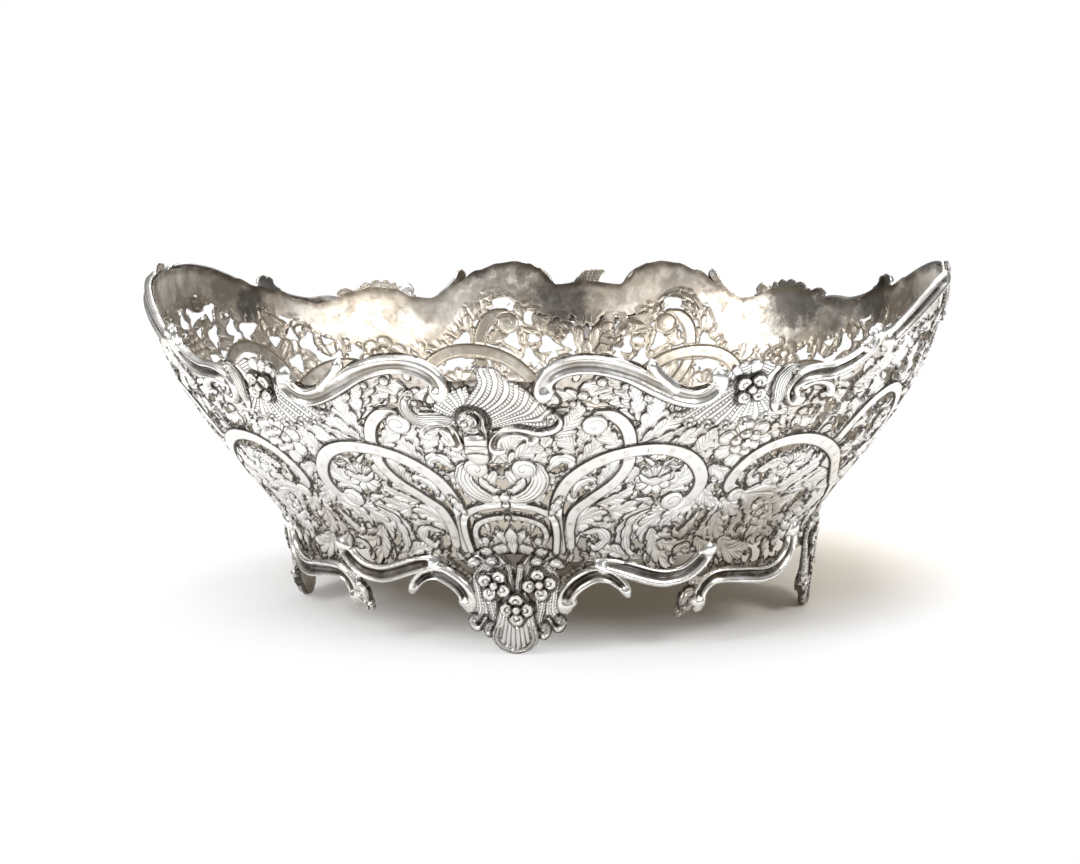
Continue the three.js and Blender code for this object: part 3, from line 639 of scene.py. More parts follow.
def relief_solids(c, front, back, place=on_wall, parts=0):
    """Bends a painted chart into closed solids. Cells whose corners are in the metal are kept, the
    outline's corners are pulled onto the line where solid is zero, and a wall joins front and back.
    front and back turn the relief into each face's lift. With parts, the chart is a whole round of
    the basket and is cut into that many solids; its normals are worked out before the cuts."""
    rows, columns = c.solid.shape
    ds, dv = c.s[1] - c.s[0], c.v[1] - c.v[0]
    wrap = 1 if parts else 0
    padded = np.pad(c.solid, ((0, 0), (wrap, wrap)), mode="wrap" if wrap else "edge")
    gv, gs = (g[:, wrap:columns + wrap].ravel() for g in np.gradient(padded, dv, ds))
    index = np.arange(rows * columns).reshape(rows, columns)
    here = index if wrap else index[:, :-1]
    ahead = np.roll(index, -1, 1) if wrap else index[:, 1:]
    corner = np.stack([here[:-1], ahead[:-1], ahead[1:], here[1:]], -1).reshape(-1, 4)
    kept = (c.solid > -0.3 * ds).ravel()[corner]
    full = corner[kept.all(1)]
    triangles = [full[:, [0, 1, 2]], full[:, [0, 2, 3]]]
    for missing in range(4):
        three = corner[(~kept[:, missing]) & (kept.sum(1) == 3)]
        triangles.append(np.delete(three, missing, axis=1))
    triangles = np.concatenate(triangles)
    s, v = (a.ravel().astype(float) for a in np.meshgrid(c.s, c.v))
    rim = np.unique(boundary_edges(triangles, rows * columns))
    pull = -c.solid.ravel()[rim] / np.maximum(gs[rim] ** 2 + gv[rim] ** 2, 0.04)
    move_s, move_v = pull * gs[rim], pull * gv[rim]
    short = np.minimum(1, 0.75 * ds / np.maximum(np.hypot(move_s, move_v), 1e-9))
    s[rim] += move_s * short
    v[rim] += move_v * short
    relief = c.height.ravel()
    faces = [place(s, v, front(relief)), place(s, v, back(relief * c.through.ravel()))]
    outward = vertex_normals(faces[0], triangles), -vertex_normals(faces[1], triangles)
    cell = np.zeros(len(triangles))
    if wrap:
        wide = triangles % columns
        cell = np.where(wide.max(1) - wide.min(1) > columns / 2, columns - 1, wide.min(1))
    part_of = (cell * max(parts, 1) // columns).astype(int)
    solids = []
    for part in range(max(parts, 1)):
        own = triangles[part_of == part]
        edges = boundary_edges(own, rows * columns)
        used = np.unique(own)
        place_of = np.full(rows * columns, -1)
        place_of[used] = np.arange(len(used))
        own, (a, b), n = place_of[own], place_of[edges].T, len(used)
        wall = np.concatenate([np.stack([b, a, a + n], 1), np.stack([b, a + n, b + n], 1)])
        fields = {name: np.tile(getattr(c, name).ravel()[used], 2) for name in PAINTED}
        fields["inside"] = np.repeat([0.0, 1.0], n)
        solids.append((
            np.concatenate([face[used] for face in faces]),
            np.concatenate([own, own[:, ::-1] + n, wall]),
            fields,
            np.concatenate([normals[used] for normals in outward]),
        ))
    return solids


def new_object(name, data):
    """A new object in the scene, at its origin."""
    made = bpy.data.objects.new(name, data)
    bpy.context.scene.collection.objects.link(made)
    return made


def make_mesh(name, points, faces, fields, normals, material):
    """Puts numpy points, triangles and point fields into a smooth mesh object."""
    mesh = bpy.data.meshes.new(name)
    mesh.vertices.add(len(points))
    mesh.vertices.foreach_set("co", points.astype(np.float32).ravel())
    mesh.loops.add(faces.size)
    mesh.loops.foreach_set("vertex_index", faces.astype(np.int32).ravel())
    mesh.polygons.add(len(faces))
    mesh.polygons.foreach_set("loop_start", np.arange(0, faces.size, 3, dtype=np.int32))
    mesh.update(calc_edges=True)
    mesh.shade_smooth()
    for field, values in fields.items():
        mesh.attributes.new(field, "FLOAT", "POINT").data.foreach_set("value", values.astype(np.float32))
    if normals is not None:
        mesh.normals_split_custom_set_from_vertices(normals.astype(np.float32))
    mesh.materials.append(material)
    return new_object(name, mesh)


def finish_piece(made, node):
    """Puts a piece under the root body, and hides the CAD node that it stands for."""
    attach(made, "root")
    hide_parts(node)
    return made


# Channelled scrolls. A section's places run across it, from its lower to its upper side.
# How far across each is, how far it stands out, and how dark its channel is there.
ACROSS, CHANNELLED, CHANNEL_DARK = np.array([
    (0, 0, 0.4), (0.02, 0.4, 0), (0.08, 0.78, 0), (0.18, 0.97, 0), (0.27, 1, 0), (0.36, 0.88, 0.1),
    (0.44, 0.64, 0.7), (0.50, 0.36, 1), (0.57, 0.24, 1), (0.64, 0.20, 1), (0.72, 0.24, 1), (0.79, 0.40, 0.9),
    (0.83, 0.62, 0.3), (0.88, 0.80, 0), (0.93, 0.78, 0), (0.98, 0.42, 0), (1, 0, 0.4),
]).T
BACK_PLACES = [12, 8, 4]    # places of the section that its flat back lies behind
BALL_REACH = 4.2        # how far from a scroll's end its channel has closed into a ball
SCROLL_STEP = 0.9       # millimetres along a scroll between its sections
SCROLL_LIFT = 0.2       # millimetres from the wall to a scroll's edges, and twice as far as to its back
TURNING = 0.12          # share of a scroll before and after its turnover in which it passes over


def scroll_solid(path, width, thickness, turnover, mirrored, taper, plain, fill, slim=1.0):
    """The channelled section carried along a chart curve. Its thick edge starts on the left of the
    route and passes to the right at the share turnover of the way, so it keeps to the convex side.
    Towards each end the channel closes and the section swells into a ball. Fill makes the channel
    shallower and cleaner all along, plain closes it, and slim is the share of the width left at the end."""
    line = smooth_line(path, 12)
    run = run_along(line)
    steps = int(run[-1] / SCROLL_STEP)
    at = np.linspace(0, run[-1], steps + 1)
    s, v = (np.interp(at, run, line[:, axis]) for axis in (0, 1))
    k = wall_scale(v)
    ds, dv = np.gradient(s) * k, np.gradient(v)
    size = np.hypot(ds, dv)
    share = at / run[-1]
    to_end = np.minimum(at, run[-1] - at)
    ends = to_end / (0.55 * width)
    round_end = domed(1 - np.clip(ends, 0, 1))
    ball = np.exp(-(np.maximum(0, to_end / width * 7 - BALL_REACH) / 1.8) ** 2)
    wide = width * (taper + (1 - taper) * np.sin(np.pi * share) ** 0.6) * np.maximum(round_end, 0.08)
    wide = wide * (1 + 0.26 * ball) * (1 - (1 - slim) * np.clip(share * 2 - 1, 0, 1))
    ball = np.maximum(ball, plain)
    tall = thickness * (0.85 + 0.15 * np.sin(np.pi * share) + 0.12 * ball) * np.maximum(round_end, 0.1)
    low = eased(np.clip((share - turnover + TURNING) / (2 * TURNING), 0, 1))[:, None]
    if mirrored:
        low = 1 - low
    profile = low * CHANNELLED + (1 - low) * CHANNELLED[::-1]
    dark = (low * CHANNEL_DARK + (1 - low) * CHANNEL_DARK[::-1]) * (1 - ball[:, None]) * (1 - 1.6 * fill)
    profile = profile + (domed(2 * ACROSS - 1) - profile) * np.maximum(ball[:, None], fill)
    # Behind, the section goes straight back from its upper to its lower side.
    offset = (ACROSS - 0.5)[None, :] * wide[:, None]
    ps = s[:, None] - offset * (dv / size / k)[:, None]
    pv = v[:, None] + offset * (ds / size)[:, None]
    front = on_wall(ps, pv, SCROLL_LIFT + profile * tall[:, None])
    behind = on_wall(ps[:, BACK_PLACES], pv[:, BACK_PLACES], np.full((steps + 1, 3), SCROLL_LIFT * 0.5))
    ring = np.concatenate([front, behind], 1)
    m = ring.shape[1]
    i = np.arange(steps)[:, None] * m
    j = np.arange(m)[None, :]
    a, b = i + j, i + (j + 1) % m
    sides = [np.stack(corners, -1).reshape(-1, 3) for corners in ((a, a + m, b + m), (a, b + m, b))]
    rest = np.arange(1, m - 1)
    first = np.stack([np.zeros_like(rest), rest, rest + 1], 1)
    last = np.stack([np.zeros_like(rest), rest + 1, rest], 1) + steps * m
    faces = np.concatenate([*sides, first, last])
    deep = np.concatenate([dark, np.ones((steps + 1, 3))], 1)
    return ring.reshape(-1, 3), faces, {"deep": deep.ravel()}


def joined(*solids):
    """Several closed solids as one set of points, triangles and fields."""
    points = np.concatenate([p for p, _, _ in solids])
    starts = running_total([len(p) for p, _, _ in solids])
    faces = np.concatenate([f + int(k) for (_, f, _), k in zip(solids, starts)])
    fields = {name: np.concatenate([g[name] for _, _, g in solids]) for name in solids[0][2]}
    return points, faces, fields


QUARTERS = [  # name, chart start, side of it
    ("front_right", 0.0, 1), ("front_left", 0.0, -1), ("back_left", 2 * END, 1), ("back_right", 2 * END, -1),
]
HALVES = [("front", 0.0), ("back", 2 * END)]
ENDS = [("right", END), ("left", 3 * END)]
FEET = [("front", 0.0), ("right", END), ("back", 2 * END), ("left", 3 * END)]


def lobe(c, points, halves, flutes, height, lip, pitch=0.0, deep=0.25, share_low=0.35):
    """One gadrooned lobe along a curve. Its half width runs through halves, flutes run along it inside
    a smooth rounded lip, and a pitch above zero beads every second flute at that spacing. Deep is the
    tarnish in its flutes, and share_low the share of its height left at its sides."""
    w, t, d, length, _ = c.beside(smooth_line(points), max(halves))
    half = np.interp(t, np.linspace(0, 1, len(halves)), halves)
    inner = np.maximum(half - lip, 0.3)
    depth = half - np.abs(d)
    count = d / inner * flutes / 2 + flutes / 2
    fluted = depth > lip
    ripple = 0.80 + 0.20 * np.abs(np.sin(np.pi * count)) ** 0.7
    bowed = share_low + (1 - share_low) * domed(d / half)
    edge = domed(1 - depth / max(lip, 0.1))
    relief = height * np.where(fluted, bowed * ripple, np.maximum(bowed, 0.80) * (0.55 + 0.45 * edge))
    relief = relief * np.clip(0.7 + 0.8 * t, 0, 1)
    beads = 1 + t * length / pitch if pitch else 0.0
    gap = np.where(fluted, 2 * inner / flutes, 0.0)
    c.stamp(w, depth, relief, count, gap, deep * fluted, beads * fluted)
    if lip:
        c.score(w, (depth > 0) & (t > 0.15), np.abs(depth - lip) + 0.04)


FAN_SAMPLE = 0.12       # millimetres between the places worked out on a fan
RIB_STEPS = 60          # places along each rib


def fan(c, ribs, flutes, height, tip, deep, pitch):
    """A fluted fan laid over a row of ribs. Places are worked out at a share t along the ribs and u
    across them, by passing from each rib to the next, and each chart cell takes the nearest one. The
    outer edge is scalloped by tip millimetres between flutes, and every second flute is beaded."""
    lines = []
    for rib in ribs:
        line = smooth_line(rib)
        run = run_along(line)
        at = np.linspace(0, run[-1], RIB_STEPS)
        lines.append(np.stack([np.interp(at, run, line[:, axis]) for axis in (0, 1)], -1))
    lines = np.array(lines)
    reach = np.hypot(*np.diff(lines, axis=1).transpose(2, 0, 1)).sum(1)
    spread = np.hypot(*(lines[1:, -1] - lines[:-1, -1]).T).sum()
    u = np.linspace(0, len(ribs) - 1, round(spread / FAN_SAMPLE))
    t = np.linspace(0, 1, round(reach.max() / FAN_SAMPLE))
    k = np.minimum(u.astype(int), len(ribs) - 2)
    part = (u - k)[:, None, None]
    across = lines[k] * (1 - part) + lines[k + 1] * part
    place = np.stack([np.array([np.interp(t, np.linspace(0, 1, RIB_STEPS), row[:, axis]) for row in across])
                      for axis in (0, 1)], -1)
    steps = np.hypot(*np.diff(place, axis=0).transpose(2, 0, 1))
    gone = np.concatenate([np.zeros((1, len(t))), np.cumsum(steps, 0)])
    length = np.interp(u, np.arange(len(ribs)), reach)[:, None]
    count = (u / (len(ribs) - 1) * flutes)[:, None]
    ripple = np.abs(np.sin(np.pi * count))
    depth = np.minimum((1 - t) * length - tip * (1 - ripple ** 0.6), np.minimum(gone, gone[-1] - gone) + 0.3)
    depth = np.minimum(depth, t * length + 0.3)
    relief = height * (0.72 + 0.28 * ripple ** 0.7) * np.clip(0.62 + 0.5 * t, 0, 1)
    relief = relief * np.clip(0.5 + depth, 0.5, 1)
    values = np.broadcast_arrays(depth, relief, count, gone[-1] / flutes, 1 + t * length / pitch)
    w, x, y = c.window(place.min((0, 1)), place.max((0, 1)))
    i, j = (place[..., 0] - x[0, 0]) / (c.s[1] - c.s[0]), (place[..., 1] - y[0, 0]) / (c.v[1] - c.v[0])
    off = np.hypot(i - np.round(i), j - np.round(j)).ravel()
    order = np.argsort(-off)
    i, j = np.round(i).astype(int).ravel()[order], np.round(j).astype(int).ravel()[order]
    fields = []
    for value, blank in zip(values, (BLANK["solid"], 0.0, 0.0, 0.0, 0.0)):
        grid = np.full(x.shape, blank)
        grid[j, i] = value.ravel()[order]
        fields.append(grid)
    depth, relief, count, gap, bead = fields
    c.stamp(w, depth, relief, count, gap, deep, bead)


SCORED = 0.02           # distance from a scored line's middle at which its field starts


def knob(c, centre, r, height):
    """A ball with a dark ring sunk round it."""
    w, _, _, away = c.around(centre, 1.5 * r)
    c.lay(w, (away < 1.35 * r) & (c.solid[w] > 0), deep=1.0, height=0.5 * c.height[w])
    disc(c, centre, r, height, spiral=False)


def volute(c, centre, r, height):
    """The rolled end of a lobe: a smooth dome, with a chased ring round a bead in its middle."""
    w, _, _, away = c.around(centre, r)
    around = c.edge[w].copy()
    disc(c, centre, r, height, spiral=False)
    c.edge[w] = np.where(away < r, 1.0, around)
    c.score(w, away < r, np.abs(away - 0.52 * r) + SCORED)
    c.lay(w, away < 0.5 * r, height=height * (0.86 + 0.3 * domed(2 * away / r)))


def seat(c, centre, r, turned, height):
    """The dark hollow that a four-petalled flower sits in, which follows its petals."""
    w, dx, dy, away = c.around(centre, 1.2 * r)
    out = r * (0.94 + 0.18 * np.cos(4 * (np.arctan2(dy, dx) - turned)))
    c.stamp(w, out - away, height + 0 * away, deep=0.8)


SHELL_RIBS = [  # of the big fan, from its hooked peak round to its lower right edge
    [(-10.0, 86.3), (-6.5, 92.4), (-4.2, 97.1), (-6.2, 102.7)],
    [(-7.1, 85.8), (-2.7, 91.3), (-0.8, 97.1), (-2.3, 102.9)],
    [(-5.3, 83.9), (1.1, 90.1), (3.0, 97.1), (1.9, 102.4)],
    [(-4.0, 81.4), (3.9, 87.7), (6.6, 92.5), (6.5, 97.2)],
    [(-2.7, 79.5), (5.7, 85.2), (9.3, 89.5), (10.0, 95.3)],
    [(-1.8, 78.2), (6.5, 82.7), (11.6, 86.5), (13.9, 92.1)],
    [(-1.5, 76.9), (7.4, 80.8), (13.4, 83.3), (17.2, 88.2)],
    [(-1.1, 75.6), (9.2, 78.9), (18.2, 80.1), (22.6, 83.2)],
    [(-0.7, 74.3), (9.1, 76.6), (17.0, 74.8), (23.1, 76.4)],
]
SHELL_LEFT_RIBS = [
    [(-8.4, 84), (-7.6, 90.6), (-8.2, 95.0)], [(-10.6, 84), (-11.2, 89.3), (-12.8, 93.2)],
    [(-12.2, 83), (-14.4, 87.7), (-16.8, 91.2)], [(-13.2, 82), (-17.0, 85.1), (-20.2, 88.2)],
    [(-13.8, 80.8), (-18.1, 82.4), (-22.4, 84.5)],
]
SHELL_HEIGHT = 2.5
# Painted shade on the shell: the eye, dark as shade and tarnish, and a ring round the horn's top where its
# shadow falls.
SHADED_HOLLOWS = [((-27.5, 85.4), 2.2, 0.2), ((-8.0, 79.4), 6.2, 0.9)]    # place, radius, and height of its floor


def paint_rim_shell(c):
    """The asymmetric shell: a leaning fan whose peak hooks to the left and whose right wing ends in a
    curl, a small scalloped fan on its left, and a wing that curls round a hollow eye."""
    lobe(c, [(-11, 80.5), (-21.2, 79.6), (-27.5, 79.6), (-31.4, 82.8), (-31.7, 87.4), (-29.6, 90.6)],
         [1.8, 3.2, 3.7, 3.2, 2.7, 1.8], 5, 2.0, 1.1)
    fan(c, SHELL_LEFT_RIBS, 9, 2.0, 1.2, 0.1, 1.2)
    fan(c, SHELL_RIBS, 16, SHELL_HEIGHT, 0.7, 0.1, 1.3)
    lobe(c, [(0, 74.6), (9.1, 76.0), (16.4, 74.2), (22.4, 75.8), (24.0, 79.6), (22.0, 82.4)],
         [0.8, 1.3, 1.6, 1.9, 1.7, 1.2], 1, 2.9, 0.5, 0, 0, 0.8)
    volute(c, (20.9, 80.6), 1.9, 3.0)
    volute(c, (-5.6, 101.6), 1.1, 2.9)
    volute(c, (-29.4, 89.8), 1.4, 2.6)
    # Painted shade: each hollow is laid dark.
    for centre, r, level in SHADED_HOLLOWS:
        w, _, _, away = c.around(centre, r)
        c.stamp(w, r - away, level + 0 * away, deep=0.9)


CARTOUCHE_FLOWER = (91.8, 89.8)
CARTOUCHE_TURN = 0.93   # radians from the chart's s to its first petal
CARTOUCHE_LOWER_RIBS = [
    [(88.0, 92.6), (84.9, 91.6), (76.7, 86.9), (68.4, 81.6), (65.2, 79.6)],
    [(88.6, 91), (84, 88.6), (79.5, 85.4), (73.3, 80.3), (70.8, 76.2)],
    [(89.6, 89.6), (88.0, 87.3), (83.6, 82.2), (79.6, 78.3), (77.7, 74.7)],
    [(91, 87), (90.4, 84.3), (88.2, 80.3), (86.6, 76.8), (85.0, 73.6)],
    [(93.2, 86), (93.3, 83.3), (92.9, 79.8), (92.8, 77.6), (92.5, 74.6)],
    [(95.6, 86), (96.7, 83.6), (98.8, 80.5), (99.9, 78.6), (100.5, 76.4)],
    [(97, 87.4), (99.2, 86.1), (102.7, 82.6), (104.6, 80.5), (105.9, 79.0)],
]
LOWER_CURLS = (1.6, 2.0, 2.0, 2.0, 1.8, 1.7, 1.5)    # radius of the curl that ends each lower rib
CARTOUCHE_UPPER_RIBS = [
    [(88, 90.4), (83.5, 94.4), (81.2, 96.2)], [(88.4, 92), (84.6, 96.2), (83.0, 98.4)],
    [(90, 93), (86.9, 98), (85.9, 100.4)], [(91.6, 93.6), (90.7, 98.6), (90.1, 101.4)],
    [(93.8, 93.4), (95.0, 98.4), (95.2, 101.4)], [(96, 92.4), (99.5, 96.7), (100.9, 99.4)],
    [(97.4, 90), (103.5, 92.3), (105.6, 95.0)],
]
CARTOUCHE_HEIGHT = 2.3


def paint_cartouche(c):
    """The shell behind a rim flower: a fluted fan that falls to curled tips, a scalloped one above, and
    a tall bent lobe on the far side."""
    fan(c, CARTOUCHE_UPPER_RIBS, 6, 0.9 * CARTOUCHE_HEIGHT, 2.0, 0.1, 1.3)
    fan(c, CARTOUCHE_LOWER_RIBS, 18, CARTOUCHE_HEIGHT, 0.6, 0.1, 1.4)
    for rib, r in zip(CARTOUCHE_LOWER_RIBS, LOWER_CURLS):
        volute(c, rib[-1], r, 1.2 * CARTOUCHE_HEIGHT)
    lobe(c, [(104.6, 78.6), (103.9, 81.0), (104.0, 84.8), (103.6, 89.0), (104.5, 93.2), (107.2, 96.4),
             (109.6, 96.0)], [1.4, 2.4, 3.0, 3.2, 3.4, 2.8, 1.6], 5, 2.5, 0.8)
    volute(c, (108.9, 95.2), 1.4, 2.8)
    seat(c, CARTOUCHE_FLOWER, 6.4, CARTOUCHE_TURN, 0.7)


def paint_end_shell(c):
    """The small shell on a raised end, with its lobes mirrored about the middle."""
    for place in mirrored_pair(0):
        for points in ([(0, 101), (4.4, 103.6), (6.4, 106.6)], [(0, 102), (4.8, 108), (6.4, 112.6)],
                       [(0, 103), (4.2, 111), (5.2, 118)]):
            lobe(c, place(points), [1.5, 2.3, 2.1], 4, 2.0, 0.6, 1.3)
            knob(c, place([(points[-1][0] + 0.4, points[-1][1] + 0.6)])[0], 0.9, 2.5)
    lobe(c, [(0, 101), (0, 111), (0, 121)], [1.8, 3.0, 3.2], 6, 2.6, 0.9, 1.3)
    knob(c, (0, 101.5), 2.2, 2.8)


SCALLOP_RIM = 2.9       # width of the scallop's doubled rim
SCALLOP_FLUTE = 0.082   # radians from one of its flutes to the next


def scallop(c, root, foot, half, height):
    """The wide scallop at the tip of a foot: a rounded fan of flutes, with a doubled raised rim."""
    (rs, rv), (fs, fv) = root, foot
    w, x, y = c.window((fs - half, fv), (fs + half, rv))
    centre = fv + half * 0.80
    middle = fs + (rs - fs) * np.clip((y - centre) / (rv - centre), 0, 1)
    away = np.hypot((x - middle) / half, (y - centre) / (half * 0.80)) - 1
    neck = np.abs(x - middle) / half - 0.40 - 0.60 * np.clip((rv - y) / (rv - centre), 0, 1) ** 0.8
    depth = -np.where(y < centre, away, np.maximum(neck, (y - rv) / half)) * half
    count = np.arctan2(x - middle, rv + 5 - y) / SCALLOP_FLUTE
    flute = 0.70 + 0.30 * np.abs(np.sin(np.pi * count)) ** 0.8
    rim = (depth < SCALLOP_RIM) & (y < centre + 4)
    relief = height * np.where(rim, 1.0 + 0.20 * np.cos(depth * 4 * np.pi / SCALLOP_RIM), 0.66 * flute)
    relief = relief * np.clip(depth / 0.5, 0.6, 1)
    c.stamp(w, depth, relief, count, np.where(rim, 0.0, 1.9), np.where(rim, 0.0, 0.42))
    for level in (SCALLOP_RIM, SCALLOP_RIM / 2):
        c.score(w, (depth > 0) & (y < centre + 4), np.abs(depth - level) + SCORED)


FOOT_UPPER_HOOK = (  # ribs of a side lobe, its rolled edge and the middle of the roll, on the right side
    [[(13.5, 0), (17.0, -5.5), (16.8, -12), (16.2, -18), (18.2, -22.4)],
     [(12.4, -1), (15.2, -7), (14.6, -14), (14.2, -20.5), (17.4, -24.8)],
     [(11.0, -2), (13.0, -8), (12.2, -15), (12.0, -22), (15.4, -27.2)]],
    [(12.8, -23.5), (14.6, -27.0), (17.2, -27.4), (18.8, -24.8), (17.8, -22.6)], (17.0, -24.0),
)
FOOT_LOWER_HOOK = (
    [[(9.6, -8), (12.2, -13.5), (11.6, -19), (10.4, -23.5), (11.8, -26.0)],
     [(8.6, -9), (10.2, -15), (9.2, -21), (8.4, -26), (11.0, -28.2)],
     [(7.4, -10), (8.0, -16), (7.0, -22), (6.4, -27), (9.4, -30.2)]],
    [(6.8, -26.4), (8.4, -30.0), (11.0, -30.6), (12.6, -28.0), (11.6, -25.8)], (10.8, -27.4),
)
FOOT_ROSETTE_PLACES = {"left": (-8.4, -8.8), "right": (9.6, -8.2), "lower": (0.1, -19.2)}
FOOT_ROSETTE_TURNS = {"left": 1.05, "right": 0.15, "lower": 0.0}
FOOT_SCALE = 0.745      # how wide one chart millimetre is at the feet


def paint_foot_shell(c):
    """A shell foot, in true millimetres from the middle of the foot: curled leaves above, beaded lobes
    at the sides that hook outward, and a wide scallop below with a doubled raised rim."""
    lobe(c, [(0, -3), (0, -26)], [11, 13.5, 9], 1, 1.2, 0, 0, 0.95)
    for place in mirrored_pair(0):
        lobe(c, place([(8, -6), (12.6, -1.5), (14.6, 1.8)]), [2.2, 3.8, 3.0], 6, 2.6, 1.1, 1.2, 0.2)
        lobe(c, place([(2.5, -8), (5.0, -2), (6.8, 2.6)]), [1.8, 3.3, 2.6], 5, 2.8, 1.1, 1.2, 0.2)
        disc(c, place([(16.2, 1.2)])[0], 2.7, 3.3)
        disc(c, place([(8.8, 2.6)])[0], 2.4, 3.4)
        for ribs, roll, eye in (FOOT_UPPER_HOOK, FOOT_LOWER_HOOK):
            fan(c, [place(rib) for rib in ribs], 4, 2.9, 0.3, 0.24, 1.4)
            lobe(c, place(roll), [0.9, 1.5, 1.7, 1.6, 1.1], 1, 3.8, 0.5, 0, 0, 0.8)
            volute(c, place([eye])[0], 1.5, 4.0)
    scallop(c, (0, -12), (-1.0, -38.6), 9.8, 3.3)
    for x in (-1.9, 1.5):
        lobe(c, [(x * 1.5, -1.5), (x, -7), (x * 0.4, -14)], [1.5, 1.8, 1.4], 3, 2.6, 0.4, 1.3, 0.35)
    for side, centre in FOOT_ROSETTE_PLACES.items():
        seat(c, centre, 6.5, FOOT_ROSETTE_TURNS[side], 1.5)


def petal_boss(c, centre, r, height, turned):
    """A cast flower: four round petals, each with a bead in a crescent hollow painted dark as its shadow,
    round a sunk ball.
    """
    w, dx, dy, away = c.around(centre, 0.6 * r)
    c.stamp(w, 0.60 * r - away, 0.45 * height + 0 * away, deep=0.8)
    size = 0.40 * r
    for turn in turned + np.arange(4) * np.pi / 2:
        out = np.array([np.cos(turn), np.sin(turn)])
        w, dx, dy, away = c.around(centre + 0.61 * r * out, size)
        c.stamp(w, size - away, height * (0.80 + 0.20 * domed(away / size)))
        ahead, aside = dx + 0.08 * r * out[0], dy + 0.08 * r * out[1]
        off = np.hypot(ahead, aside)
        outward = ahead * out[0] + aside * out[1]
        # Painted shadow: a dark crescent round each petal's bead.
        crescent_shadow = (away < size) & (off < 0.205 * r) & (off > 0.125 * r) & (outward > -0.10 * r)
        c.lay(w, crescent_shadow, deep=1.0, height=0.62 * c.height[w])
    knob(c, centre, 0.26 * r, 1.35 * height)


HORN_SHAPE = np.array([  # height on the chart, middle and half width
    (57.4, -7.0, 0.1), (57.6, -7.0, 1.3), (58.1, -7.0, 2.4), (59, -7.1, 3.4), (60.3, -7.3, 4.3),
    (62, -7.5, 4.9), (64.5, -7.7, 5.1), (68, -7.5, 4.9), (72, -7.2, 5.0), (76, -7.4, 5.2),
    (80, -8.2, 5.2), (82, -8.5, 4.6), (83.6, -8.7, 3.4), (84.4, -8.8, 2.2), (84.8, -8.8, 0.1),
])
HORN_SWELL = np.array([  # height on the chart, and how far the horn stands out there
    (58, 2.2), (60, 3.2), (64, 3.7), (66.6, 3.2), (67.2, 3.6), (71.4, 3.9), (72.4, 3.1), (76, 2.8),
    (84, 2.4),
])
HORN_RINGS = [(73.0, 1.9), (72.2, 1.7), (67.4, 1.9), (63.4, 1.9)]    # each collar line's height and bow


def paint_horn(c):
    """The horn under a rim shell: a spiral and a leaf on top, collar rings, and an egg-shaped lower end."""
    w, x, y = c.window((-15, 57), (0, 86))
    levels, middles, halves = HORN_SHAPE.T
    middle, half = np.interp(y, levels, middles), np.interp(y, levels, halves)
    across = np.abs(x - middle)
    depth = half - across
    out = across / np.maximum(half, 0.2)
    swell = np.interp(y, *HORN_SWELL.T)
    c.stamp(w, depth, swell * (0.30 + 0.70 * domed(out)), weight=0.4)
    bow = 1 - out**2
    for level, rise in HORN_RINGS:
        c.score(w, (depth > 0.2) & (y < 77), np.abs(y - level - rise * bow) + SCORED)
    groove = np.abs(y - 64.0 - 1.9 * bow)
    c.lay(w, (depth > 0.8) & (groove < 0.6) & (across < 0.7 * half), deep=0.7)
    w, x, y = c.window((-14, 73), (-2, 86))
    away = np.hypot(x + 7.9, y - 79.6)
    c.stamp(w, 5.5 - away, 2.6 + 0.3 * np.clip(5.5 - away, 0, 2), weight=0.2)
    lobe(c, [(-6.2, 84.2), (-3.9, 81.6), (-3.7, 77.6), (-2.4, 72.6)], [0.6, 1.2, 1.3, 0.5], 2, 3.6, 0.3)
    lobe(c, [(-8.0, 77.0), (-6.4, 79.0), (-6.8, 81.2), (-8.6, 82.2)], [0.7, 1.1, 1.2, 0.9], 1, 3.8, 0.2,
         0, 0)
    volute(c, (-10.2, 79.6), 2.7, 4.0)


def paint_bud(c):
    """The leafy bud that ends an outer foot scroll: three folded leaves over one another."""
    leaf(c, [(103, -10.6), (98.4, -12.6), (93.6, -16.6)], 4.4, 3, height=3.0, curl=False)
    leaf(c, [(99, -13.0), (93.6, -18.6), (87.6, -24.6)], 4.4, 3, height=3.6, curl=False)
    leaf(c, [(98, -13.6), (92.6, -16.0), (88.4, -20.6)], 2.8, 2, height=4.0, curl=False)
    volute(c, (88.6, -23.4), 1.8, 3.8)


CHASED_BUMP, RAIL_BUMP, PLATE_BUMP = 0.00028, 0.00022, 0.0002    # depth of each silver's bump, in metres


class Value:
    """A number or colour that a material works out at each place. The usual signs join numbers."""

    def __init__(self, shader, socket):
        self.shader, self.socket = shader, socket


for sign, operation in (("add", "ADD"), ("sub", "SUBTRACT"), ("mul", "MULTIPLY")):
    setattr(Value, f"__{sign}__", lambda a, b, join=operation: a.shader.math(join, a, b))
    setattr(Value, f"__r{sign}__", lambda a, b, join=operation: a.shader.math(join, b, a))


